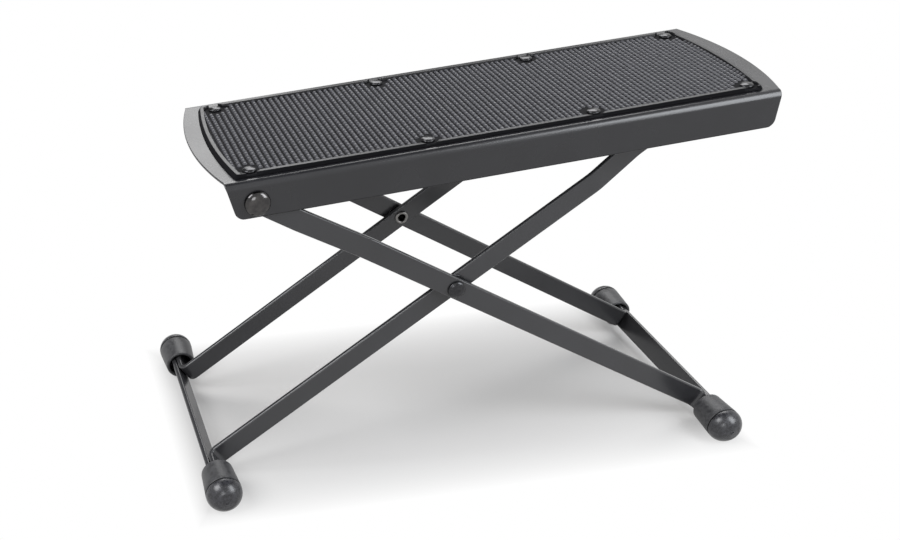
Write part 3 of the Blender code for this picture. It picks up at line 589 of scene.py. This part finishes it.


# Platform: 1.2 mm sheet steel, folded down along both sides, with bowed ends and flanges drawn in to
# rounded corners. It is pierced for the mat's rivets and the hinge's, and then powder-coated. Its
# coat is a shade darker than the frames', whose lighter coat is painted floor light.
PLATE_LENGTH = 300 * MM
PLATE_HALF = 55 * MM
PLATE_SHEET = 1.2 * MM
PLATE_BOW = 7.6 * MM        # how far its ends stand out in the middle
PLATE_BEND = 4 * MM
PLATE_TOP = 12 * MM         # above the hinge
PLATE_INSET = 15.6 * MM     # from its left corners to the hinge
PLATE_EASE = 0.3 * MM       # on edges sharper than the next angle
PLATE_EASE_ANGLE = math.radians(55)
FLANGE_DEPTH = 20 * MM
FLANGE_CORNER = 4 * MM
LEFT_TAPER = 4.8 * MM       # how far a flange's end draws in over its depth
RIGHT_TAPER = 2.8 * MM
CORNER_STEPS = 8
BEND_STEPS = 12
TOP_STEPS = 48
MAT_RIVET_HOLE = 2.3 * MM
MAT_RIVET_HOLE_SIDES = 24
RIVET_COUNT = 4             # along each side

powder_coat = powder("powder_coat", (0.0105, 0.0105, 0.0120), (0.0135, 0.0135, 0.0155), 0.24, 0.29)
tread_normal = frame["record"]["mounts"][0]["axis"]
platform_slope = math.atan2(-tread_normal[0], tread_normal[2])
platform_place = Matrix.Translation(hinge) @ Matrix.Rotation(-platform_slope, 4, "Y")
plate_middle = PLATE_LENGTH / 2 - PLATE_INSET


def bow(y, half_width, sagitta):
    """How far an end's arc stands out at y, between corners at plus and minus half_width."""
    radius = (half_width ** 2 + sagitta ** 2) / (2 * sagitta)
    return math.sqrt(radius ** 2 - min(abs(y), half_width) ** 2) - (radius - sagitta)


def plate_section():
    """Across the sheet, front to back: outer (y, z), inner (y, z) and distance down the flange."""
    flat = PLATE_HALF - PLATE_BEND
    inside = PLATE_BEND - PLATE_SHEET
    half = []
    for i in range(CORNER_STEPS + 1):
        down = FLANGE_DEPTH - FLANGE_CORNER * (1 - math.cos(math.pi / 2 * i / CORNER_STEPS))
        half.append((PLATE_HALF, -down, PLATE_HALF - PLATE_SHEET, -down, down))
    for i in range(BEND_STEPS + 1):
        angle = math.pi / 2 * i / BEND_STEPS
        y, z = math.cos(angle), math.sin(angle) - 1
        half.append((flat + PLATE_BEND * y, PLATE_BEND * z, flat + inside * y, inside * z - PLATE_SHEET,
                     -PLATE_BEND * z))
    front = [(-a, b, -c, d, down) for a, b, c, d, down in half]
    top = [(y, 0, y, -PLATE_SHEET, 0)
           for y in (-flat * math.cos(math.pi * i / TOP_STEPS) for i in range(1, TOP_STEPS))]
    return front + top + list(reversed(half))


def flange_end(down, taper):
    """How far the platform's end draws in at a distance down the flange."""
    drawn = taper * down / FLANGE_DEPTH
    into_corner = down - (FLANGE_DEPTH - FLANGE_CORNER)
    if into_corner > 0:
        drawn += FLANGE_CORNER - math.sqrt(max(FLANGE_CORNER ** 2 - into_corner ** 2, 0))
    return drawn


loops = []
for end, taper in ((-1, LEFT_TAPER), (1, RIGHT_TAPER)):
    outer, inner = [], []
    for y, z, inner_y, inner_z, down in plate_section():
        reach = PLATE_LENGTH / 2 + bow(y, PLATE_HALF - PLATE_BEND, PLATE_BOW) - flange_end(down, taper)
        outer.append((plate_middle + end * reach, y, PLATE_TOP + z))
        inner.append((plate_middle + end * reach, inner_y, PLATE_TOP + inner_z))
    loops.append(outer + inner[::-1])
shape = bmesh.new()
rows = [[shape.verts.new(point) for point in loop] for loop in loops]
count = len(rows[0])
for i in range(count):
    j = (i + 1) % count
    shape.faces.new((rows[0][i], rows[0][j], rows[1][j], rows[1][i]))
for row in rows:
    for i in range(count // 2 - 1):
        shape.faces.new((row[i], row[i + 1], row[count - 2 - i], row[count - 1 - i]))
platform = piece_from(shape, "platform_sheet", powder_coat, platform_place)
ease = platform.modifiers.new("eased edges", "BEVEL")
ease.width = PLATE_EASE
ease.segments = 2
ease.limit_method = "ANGLE"
ease.angle_limit = PLATE_EASE_ANGLE
ease.use_clamp_overlap = False
built(platform)

rivet_names = [f"mat_rivet_{row}_{number}"
               for row in ("front", "back") for number in range(1, RIVET_COUNT + 1)]
rivet_places = [tuple(platform_place.inverted() @ middle(name))[:2] for name in rivet_names]
sheet_holes = [(x, y, MAT_RIVET_HOLE, PLATE_TOP - 7 * MM, PLATE_TOP + 8 * MM)
               for x, y in rivet_places]
drill(platform, platform_place, sheet_holes, MAT_RIVET_HOLE_SIDES)
drill(platform, platform_place @ Matrix.Rotation(math.pi / 2, 4, "X"),
      [(0, 0, TOP_HOLE, -2 * PLATE_HALF, 2 * PLATE_HALF)])
even_shading(platform)
fit(platform, "platform_assembly", "platform")


# Hinge rivets: steel, plated in polished dark nickel, domed outside the platform's flanges and headed
# over on a zinc-plated washer inside the outer legs.
HINGE_SHANK = 3 * MM
HINGE_HEAD = 6.7 * MM
HINGE_HEAD_RIM = 0.5 * MM
HINGE_HEAD_CROWN = 3.4 * MM
HINGE_TAIL = 4.6 * MM
HINGE_TAIL_CROWN = 1 * MM
HINGE_TAIL_BACK = 0.02 * MM
HINGE_TAIL_STEPS = 8
HINGE_SIDES = 96
HINGE_WASHER = 6.2 * MM
HINGE_WASHER_BORE = 3.3 * MM
HINGE_WASHER_THICKNESS = 1 * MM
HINGE_WASHER_EASE = 0.2 * MM

dark_nickel, tree, shader = shader_of("dark_nickel")
shader.inputs["Metallic"].default_value = 1
haze = noise(tree, 3 * MM, detail=3)
coloured(tree, shader, haze, (0.045, 0.044, 0.045), (0.080, 0.077, 0.075))
glossed(tree, shader, haze, 0.09, 0.17)
bumps(tree, shader, (noise(tree, 1.2 * MM), 0.004 * MM))

washer_face = OUTER_TOP_SIDE - BAR_THICKNESS / 2 - SEAT_GAP - HINGE_WASHER_THICKNESS
tail_face = washer_face - SEAT_GAP
shank = PLATE_HALF + SEAT_GAP - tail_face
turns = [math.pi / 2 * i / HINGE_TAIL_STEPS for i in range(1, HINGE_TAIL_STEPS + 1)]
profile = [(0, -HINGE_TAIL_CROWN)]
profile += [(HINGE_TAIL * math.sin(turn), -HINGE_TAIL_CROWN * math.cos(turn)) for turn in turns]
profile += [(HINGE_SHANK, HINGE_TAIL_BACK), (HINGE_SHANK, shank)]
profile += dome(HINGE_HEAD, HINGE_HEAD_RIM, HINGE_HEAD_CROWN, shank, steps=18)
turned_pair(profile, "top_rivet", "platform_assembly", platform_place, 0, tail_face,
            dark_nickel, HINGE_SIDES)
profile = washer(HINGE_WASHER_BORE, HINGE_WASHER, HINGE_WASHER_THICKNESS, HINGE_WASHER_EASE)
turned_pair(profile, "top_washer", "platform_assembly", platform_place, 0, washer_face,
            zinc)


# Racks: two zinc-plated angle strips under the platform, with round notches that drop over the lock
# rod. Their own solids are shown, in the rod's finish.
for side in ("front", "back"):
    rack = frame["nodes"][f"rack_{side}"]
    rack.data.materials.clear()
    rack.data.materials.append(zinc)


# Rubber mat: one black moulding, held by eight rivets, with a raised rim that is open round them. It
# lies nearer the platform's front, and its front edge has settled a little in the middle. Its outer
# walls and the floor between its studs are dull, and painted near black as painted shade.
MAT_LENGTH = 292 * MM
MAT_WIDTH = 94 * MM
MAT_SHIFT = 3 * MM          # how far it lies towards the front
MAT_LEFT = 1.2 * MM         # and towards the left
MAT_BOW = 4.5 * MM
MAT_HEIGHT = 2.5 * MM
MAT_RIM = 2 * MM
MAT_EDGE = 0.3 * MM         # radius of the rim's edges
MAT_OUTER_EDGE_STEPS = 4
MAT_INNER_EDGE_STEPS = 3
MAT_CORNER = 1.5 * MM
MAT_CORNER_LEAST = 0.4 * MM
MAT_SKIRT = 1.2 * MM        # how far its ends spread at the bottom
MAT_SETTLE = 0.6 * MM       # how much lower its front edge lies in the middle
MAT_END_STEPS = 40
MAT_CORNER_STEPS = 5
MAT_SIDE_STEPS = 32
FIELD_FLOOR = 1.1 * MM
POCKET = 5.6 * MM           # radius of the clear round each rivet
POCKET_SIDES = 40

mat_rubber, tree, shader = shader_of("mat_rubber")
shader.inputs["Specular IOR Level"].default_value = 0.3
mottle = noise(tree, 6 * MM, detail=5, roughness=0.6)
skin = noise(tree, 0.3 * MM, detail=3, roughness=0.6)
coloured(tree, shader, mottle, (0.0085, 0.0085, 0.0095), (0.012, 0.012, 0.0135))
glossed(tree, shader, mottle, 0.28, 0.36)
bumps(tree, shader, (skin, 0.012 * MM))
# near-black rubber on the outer walls and the field's floor: painted shade
mat_painted_shade = plain("mat_painted_shade", (0.007, 0.007, 0.008), 0.6, specular=0.03)

mat_middle = plate_middle - MAT_LEFT
mat_seat = PLATE_TOP + SEAT_GAP
mat_top = mat_seat + MAT_HEIGHT


def mat_end(y):
    """How far the mat's end stands out from its middle at y from the mat's own middle line."""
    return MAT_LENGTH / 2 - MAT_BOW + bow(y, MAT_WIDTH / 2, MAT_BOW)


def mat_outline(inset, z, skirt=0):
    """The mat's outline drawn in by inset, with rounded corners and arced ends let out by a skirt."""
    corner = max(MAT_CORNER - inset, MAT_CORNER_LEAST)
    straight = MAT_WIDTH / 2 - inset - corner
    corner_x = mat_end(straight) - inset - corner
    turns = [math.pi / 2 * i / MAT_CORNER_STEPS for i in range(MAT_CORNER_STEPS)]
    first = [(corner_x + corner * math.sin(turn), -straight - corner * math.cos(turn))
             for turn in turns]
    arc = [-straight * math.cos(math.pi * i / MAT_END_STEPS) for i in range(MAT_END_STEPS + 1)]
    side = [((corner_x + skirt) * (1 - 2 * i / MAT_SIDE_STEPS) - skirt, straight + corner)
            for i in range(1, MAT_SIDE_STEPS)]
    run = first + [(mat_end(y) - inset, y) for y in arc]
    run += [(x, -y) for x, y in reversed(first)] + side
    return [(mat_middle + end * (x + skirt), end * y - MAT_SHIFT, z)
            for end in (1, -1) for x, y in run]


def in_painted_shade(at, normal):
    """True on the field's floor and on the outer walls, where shade is painted."""
    outer = (at.x - mat_middle) * normal.x + (at.y + MAT_SHIFT) * normal.y > 0
    return (normal.z > 0.8 and at.z < mat_top - 1 * MM) or (normal.z < 0.8 and outer)


rings = [mat_outline(0, mat_seat, MAT_SKIRT), mat_outline(0, mat_top - MAT_EDGE)]
rings += [mat_outline(MAT_EDGE * (1 - math.cos(a)), mat_top - MAT_EDGE * (1 - math.sin(a)))
          for a in (math.pi / 2 * i / MAT_OUTER_EDGE_STEPS
                    for i in range(1, MAT_OUTER_EDGE_STEPS + 1))]
rings += [mat_outline(MAT_RIM - MAT_EDGE * math.cos(a), mat_top - MAT_EDGE * (1 - math.sin(a)))
          for a in (math.pi / 2 * (1 - i / MAT_INNER_EDGE_STEPS)
                    for i in range(MAT_INNER_EDGE_STEPS + 1))]
rings.append(mat_outline(MAT_RIM, mat_seat + FIELD_FLOOR))
mat = piece_from(loft(rings), "mat_moulding", mat_rubber, platform_place)
pockets = [(x, y, POCKET, mat_seat + FIELD_FLOOR, mat_top + 5 * MM) for x, y in rivet_places]
mat_holes = [(x, y, MAT_RIVET_HOLE, mat_seat - 5 * MM, mat_top + 5 * MM) for x, y in rivet_places]
drill(mat, platform_place, pockets, POCKET_SIDES)
drill(mat, platform_place, mat_holes, MAT_RIVET_HOLE_SIDES)
back = platform_place.inverted()
for vertex in mat.data.vertices:
    at = back @ vertex.co
    if at.z > mat_seat + FIELD_FLOOR + 0.05 * MM:
        along = 1 - ((at.x - mat_middle) / (MAT_LENGTH / 2)) ** 2
        forward = 0.5 - (at.y + MAT_SHIFT) / MAT_WIDTH
        at.z -= MAT_SETTLE * along * forward
        vertex.co = platform_place @ at
even_shading(mat)
paint(mat, platform_place, mat_painted_shade, in_painted_shade)
fit(mat, "platform_assembly", "rubber_mat")


# The mat's studs: small four-sided pyramids with soft blunt tips, moulded with the mat in staggered
# columns that nearly touch. Those at the field's edge run into the rim, and none stands in a pocket.
COLUMN_PITCH = 3.08 * MM
STUD_PITCH = 3.33 * MM
STUD_ACROSS = 2.9 * MM
STUD_ALONG = 3.3 * MM
STUD_HEIGHT = 0.9 * MM
STUD_TIP_SHARE = 0.36
STUD_SUNK = 0.06 * MM       # into the field's floor
STUD_OVER_RIM = 0.35 * MM   # how far a stud's middle may lie inside the rim
STUD_FROM_POCKET = 0.7 * MM    # least distance of its middle from a pocket
MAT_DRIFT = 3.7 * MM        # how far the middle columns are stretched to the right

# the studs' rubber is a lighter copy of the mat's: painted light on the studs
lit_stud_rubber, tree, shader = shader_of("lit_stud_rubber")
shader.inputs["Specular IOR Level"].default_value = 0.32
shader.inputs["Roughness"].default_value = 0.36
mottle = noise(tree, 5 * MM, detail=5, roughness=0.6)
coloured(tree, shader, mottle, (0.042, 0.042, 0.047), (0.058, 0.058, 0.065))
bumps(tree, shader, (noise(tree, 0.5 * MM, detail=3), 0.03 * MM))


def studs_tree():
    """Puts a stud on each point and tilts it with the platform. Its inputs are the stud's sizes."""
    tree = bpy.data.node_groups.new("studs", "GeometryNodeTree")
    face = tree.interface
    face.new_socket("Geometry", in_out="INPUT", socket_type="NodeSocketGeometry")
    face.new_socket("Geometry", in_out="OUTPUT", socket_type="NodeSocketGeometry")
    numbers = ("Length Across", "Length Along", "Height", "Tip Share", "Sunk", "Tilt")
    kinds = {**dict.fromkeys(numbers, "NodeSocketFloat"), "Material": "NodeSocketMaterial"}
    sockets = {name: face.new_socket(name, in_out="INPUT", socket_type=kind)
               for name, kind in kinds.items()}
    start, end = node(tree, "NodeGroupInput"), node(tree, "NodeGroupOutput")

    def maths(operation, *values):
        made = node(tree, "ShaderNodeMath", operation=operation)
        for socket, value in zip(made.inputs, values):
            if isinstance(value, (int, float)):
                socket.default_value = value
            else:
                tree.links.new(value, socket)
        return made.outputs[0]

    cone = node(tree, "GeometryNodeMeshCone", fill_type="NGON")
    cone.inputs["Vertices"].default_value = 4
    cone.inputs["Radius Bottom"].default_value = math.sqrt(2)
    tip = maths("MULTIPLY", start.outputs["Tip Share"], math.sqrt(2))
    whole = maths("ADD", start.outputs["Height"], start.outputs["Sunk"])
    tree.links.new(tip, cone.inputs["Radius Top"])
    tree.links.new(whole, cone.inputs["Depth"])
    square = node(tree, "GeometryNodeTransform")
    square.inputs["Rotation"].default_value = (0, 0, math.pi / 4)
    tree.links.new(cone.outputs["Mesh"], square.inputs["Geometry"])
    soft = node(tree, "GeometryNodeSubdivisionSurface")
    soft.inputs["Level"].default_value = 1
    soft.inputs["Edge Crease"].default_value = 0.7
    tree.links.new(square.outputs["Geometry"], soft.inputs["Mesh"])
    scale = node(tree, "ShaderNodeCombineXYZ")
    tree.links.new(maths("MULTIPLY", start.outputs["Length Across"], 0.5), scale.inputs["X"])
    tree.links.new(maths("MULTIPLY", start.outputs["Length Along"], 0.5), scale.inputs["Y"])
    scale.inputs["Z"].default_value = 1
    drop = node(tree, "ShaderNodeCombineXYZ")
    tree.links.new(maths("MULTIPLY", start.outputs["Sunk"], -1), drop.inputs["Z"])
    shaped = node(tree, "GeometryNodeTransform")
    tree.links.new(soft.outputs["Mesh"], shaped.inputs["Geometry"])
    tree.links.new(scale.outputs[0], shaped.inputs["Scale"])
    tree.links.new(drop.outputs[0], shaped.inputs["Translation"])
    turn = node(tree, "ShaderNodeCombineXYZ")
    tree.links.new(start.outputs["Tilt"], turn.inputs["Y"])
    euler = node(tree, "FunctionNodeEulerToRotation")
    tree.links.new(turn.outputs[0], euler.inputs[0])
    copies = node(tree, "GeometryNodeInstanceOnPoints")
    tree.links.new(start.outputs["Geometry"], copies.inputs["Points"])
    tree.links.new(shaped.outputs["Geometry"], copies.inputs["Instance"])
    tree.links.new(euler.outputs[0], copies.inputs["Rotation"])
    real = node(tree, "GeometryNodeRealizeInstances")
    tree.links.new(copies.outputs["Instances"], real.inputs["Geometry"])
    painted = node(tree, "GeometryNodeSetMaterial")
    tree.links.new(real.outputs["Geometry"], painted.inputs["Geometry"])
    tree.links.new(start.outputs["Material"], painted.inputs["Material"])
    tree.links.new(painted.outputs["Geometry"], end.inputs["Geometry"])
    return tree, sockets


def stud_stands(x, y):
    """True where a stud fits, at x and y from the platform's and the mat's own middle."""
    if abs(y) > MAT_WIDTH / 2 - MAT_RIM + STUD_OVER_RIM:
        return False
    if abs(x + plate_middle - mat_middle) > mat_end(y) - MAT_RIM + STUD_OVER_RIM:
        return False
    from_rivets = min(math.hypot(plate_middle + x - a, y - MAT_SHIFT - b) for a, b in rivet_places)
    return from_rivets >= POCKET + STUD_FROM_POCKET


places = []
drift_half = (rivet_places[RIVET_COUNT - 1][0] - rivet_places[0][0]) / 2
columns = int(MAT_LENGTH / 2 / COLUMN_PITCH) + 1
rows_each_way = int(MAT_WIDTH / 2 / STUD_PITCH) + 1
for column in range(-columns, columns + 1):
    x = column * COLUMN_PITCH
    x += MAT_DRIFT * (1 - (x / drift_half) ** 2)
    for row in range(-rows_each_way, rows_each_way + 1):
        y = (row + (0.5 if column % 2 else 0)) * STUD_PITCH
        if stud_stands(x, y):
            at = (plate_middle + x, y - MAT_SHIFT, mat_seat + FIELD_FLOOR)
            places.append(platform_place @ Vector(at))
points = bpy.data.meshes.new("studs")
points.from_pydata(places, [], [])
studs = bpy.data.objects.new("mat_studs", points)
bpy.context.scene.collection.objects.link(studs)
grower = studs.modifiers.new("studs", "NODES")
grower.node_group, sockets = studs_tree()
for name, value in (("Length Across", STUD_ACROSS), ("Length Along", STUD_ALONG),
                    ("Height", STUD_HEIGHT), ("Tip Share", STUD_TIP_SHARE), ("Sunk", STUD_SUNK),
                    ("Tilt", -platform_slope), ("Material", lit_stud_rubber)):
    grower[sockets[name].identifier] = value
built(studs)
fit(studs, "platform_assembly", "rubber_mat")


# Mat rivets: snap rivets of blackened steel with low domed heads, pushed through the mat and the
# sheet so that their barbs spread underneath.
SNAP_HEAD = 3.5 * MM
SNAP_HEAD_RIM = 0.4 * MM
SNAP_HEAD_CROWN = 1.5 * MM
SNAP_SHANK = 2 * MM
SNAP_SIDES = 40
SNAP_BARB = ((0, -1.6), (1.4, -1.6), (2, -1.3), (2.7, -0.2), (2.6, 0))    # (radius, height) in mm

head_face = mat_seat + FIELD_FLOOR + SEAT_GAP
barb_top = PLATE_TOP - PLATE_SHEET - SEAT_GAP - head_face
profile = [(radius * MM, barb_top + height * MM) for radius, height in SNAP_BARB]
profile += [(SNAP_SHANK, barb_top), (SNAP_SHANK, 0)]
profile += dome(SNAP_HEAD, SNAP_HEAD_RIM, SNAP_HEAD_CROWN, 0, steps=10)
for node_name, (x, y) in zip(rivet_names, rivet_places):
    place = platform_place @ Matrix.Translation((x, y, head_face))
    piece = piece_from(turned(profile, SNAP_SIDES), f"{node_name}_turned", black_oxide, place)
    fit(piece, "platform_assembly", node_name)


# Background: plain white to the eye and in reflections. The light that it throws on the footrest
# from all round is dimmer than it looks.
AMBIENT = 0.36


def seen_directly(tree):
    """1 for camera, glossy and transmission rays, which see the plain white background."""
    path = node(tree, "ShaderNodeLightPath")
    first = node(tree, "ShaderNodeMath", operation="MAXIMUM")
    tree.links.new(path.outputs["Is Camera Ray"], first.inputs[0])
    tree.links.new(path.outputs["Is Glossy Ray"], first.inputs[1])
    second = node(tree, "ShaderNodeMath", operation="MAXIMUM")
    tree.links.new(first.outputs[0], second.inputs[0])
    tree.links.new(path.outputs["Is Transmission Ray"], second.inputs[1])
    return second.outputs[0]


world = bpy.data.worlds.new("studio")
world.use_nodes = True
tree = world.node_tree
background = tree.nodes["Background"]
background.inputs["Color"].default_value = (1, 1, 1, 1)
strength = node(tree, "ShaderNodeMapRange")
strength.inputs["To Min"].default_value = AMBIENT
strength.inputs["To Max"].default_value = 1
tree.links.new(seen_directly(tree), strength.inputs["Value"])
tree.links.new(strength.outputs["Result"], background.inputs["Strength"])
bpy.context.scene.world = world


# Floor: matt paper. It is painted with a shadow, a soft grey patch between the feet in which its own
# shading and the footrest's real shadow also show, and it fades round that to the background's white.
FLOOR_AND_SHADOW_PATCH_COLOUR = (0.402, 0.396, 0.390, 1)
FLOOR_HALF = 3
SHADOW_FADE_ACROSS = (3 * MM, 0, 92 * MM, 2.75)    # middle, start and end of the fade from it, and power
SHADOW_FADE_ALONG = (0, 140 * MM, 168 * MM, 1.2)


def card(name, half_width, half_height, material):
    """A flat rectangle of the studio."""
    mesh = bpy.data.meshes.new(name)
    corners = [(-1, -1), (1, -1), (1, 1), (-1, 1)]
    mesh.from_pydata([(half_width * a, half_height * b, 0) for a, b in corners], [], [(0, 1, 2, 3)])
    mesh.materials.append(material)
    made = bpy.data.objects.new(name, mesh)
    bpy.context.scene.collection.objects.link(made)
    return made


def fade(source, middle_at, start, end, power):
    """0 up to start from the middle, and 1 from end on."""
    moved = node(tree, "ShaderNodeMath", operation="SUBTRACT")
    tree.links.new(source, moved.inputs[0])
    moved.inputs[1].default_value = middle_at
    away = node(tree, "ShaderNodeMath", operation="ABSOLUTE")
    tree.links.new(moved.outputs[0], away.inputs[0])
    share = node(tree, "ShaderNodeMapRange")
    share.inputs["From Min"].default_value = start
    share.inputs["From Max"].default_value = end
    tree.links.new(away.outputs[0], share.inputs["Value"])
    curve = node(tree, "ShaderNodeMath", operation="POWER")
    tree.links.new(share.outputs["Result"], curve.inputs[0])
    curve.inputs[1].default_value = power
    return curve.outputs[0]


floor_paper, tree, shader = shader_of("floor_paper")
tree.nodes.remove(shader)
diffuse = node(tree, "ShaderNodeBsdfDiffuse")
diffuse.inputs["Color"].default_value = FLOOR_AND_SHADOW_PATCH_COLOUR
glow = node(tree, "ShaderNodeEmission")
glow.inputs["Strength"].default_value = 1
where = node(tree, "ShaderNodeTexCoord")
split = node(tree, "ShaderNodeSeparateXYZ")
tree.links.new(where.outputs["Object"], split.inputs[0])
# the share of white round the painted shadow patch
white = node(tree, "ShaderNodeMath", operation="MAXIMUM")
tree.links.new(fade(split.outputs["Y"], *SHADOW_FADE_ACROSS), white.inputs[0])
tree.links.new(fade(split.outputs["X"], *SHADOW_FADE_ALONG), white.inputs[1])
share = node(tree, "ShaderNodeMath", operation="MULTIPLY")
tree.links.new(white.outputs[0], share.inputs[0])
tree.links.new(seen_directly(tree), share.inputs[1])
mix = node(tree, "ShaderNodeMixShader")
tree.links.new(share.outputs[0], mix.inputs["Fac"])
tree.links.new(diffuse.outputs[0], mix.inputs[1])
tree.links.new(glow.outputs[0], mix.inputs[2])
tree.links.new(mix.outputs[0], tree.nodes["Material Output"].inputs["Surface"])
card("floor", FLOOR_HALF, FLOOR_HALF, floor_paper)


# Lamps: a low and a high softbox behind, which glance off the platform's top and the studs, a tall key
# at the front right, a wide softbox on the left and a small one at the front left. Three black cards,
# seen only in reflections, keep the tops of the bars and the plate's right end dark.
TARGET = Vector((0, 0, 0.12))    # inside the footrest; all of them face this point
CARD_DISTANCE = 1.3
# Name, degrees right of straight behind, degrees up, width, height, radiance, tint, distance.
SOFTBOXES = (
    ("softbox_behind_low", -1, 28.5, 0.46, 0.44, 2.8, (1, 1, 1), 1.6),
    ("softbox_behind_high", 13, 49, 1.15, 0.7, 6.5, (1, 1, 1), 1.6),
    ("softbox_key", 135, 34, 0.46, 0.75, 9, (0.93, 0.96, 1), 1),
    ("softbox_left", -100, 42, 0.9, 0.8, 9.5, (0.97, 0.98, 1), 1.6),
    ("softbox_front", -160, 16, 0.35, 0.35, 6, (0.95, 0.97, 1), 1.2))
# Name, degrees right of straight behind, degrees up, half width, half height.
BLACK_CARDS = (
    ("black_card_left", -31, 28, 0.46, 0.45),
    ("black_card_low", 19, 11.5, 0.25, 0.26),
    ("black_card_top", 0, 85, 0.6, 0.46))


def studio_place(azimuth, elevation, distance):
    """A place on a sphere round the footrest, turned to face it."""
    a, e = math.radians(azimuth), math.radians(elevation)
    out = Vector((math.sin(a) * math.cos(e), math.cos(a) * math.cos(e), math.sin(e)))
    turn = out.to_track_quat("Z", "Y").to_matrix().to_4x4()
    return Matrix.Translation(TARGET + out * distance) @ turn


for name, azimuth, elevation, width, height, radiance, tint, distance in SOFTBOXES:
    lamp = bpy.data.lights.new(name, "AREA")
    lamp.shape = "RECTANGLE"
    lamp.size = width
    lamp.size_y = height
    lamp.energy = radiance * math.pi * width * height
    lamp.color = tint
    softbox = bpy.data.objects.new(name, lamp)
    softbox.matrix_world = studio_place(azimuth, elevation, distance)
    softbox.visible_camera = False
    bpy.context.scene.collection.objects.link(softbox)
black = plain("black_card", (0.005, 0.005, 0.005), 1)
for name, azimuth, elevation, half_width, half_height in BLACK_CARDS:
    flag = card(name, half_width, half_height, black)
    flag.matrix_world = studio_place(azimuth, elevation, CARD_DISTANCE)
    flag.visible_camera = False
    flag.visible_diffuse = False
    flag.visible_shadow = False


# Camera: the photograph's own angle, from the front left and above. The lens is shifted for the
# photograph's off-centre framing.
lens = bpy.data.cameras.new("camera")
lens.sensor_width = 36
lens.lens = 49.516
lens.shift_x = 0.2471
lens.shift_y = 0.0122
lens.clip_start = 0.01
camera = bpy.data.objects.new("camera", lens)
camera.location = (-0.26078, -0.5931, 0.4388)
camera.rotation_euler = (math.pi / 2 - 0.510, 0, -0.213)
bpy.context.scene.collection.objects.link(camera)
bpy.context.scene.camera = camera
bpy.context.scene.view_settings.view_transform = "Standard"
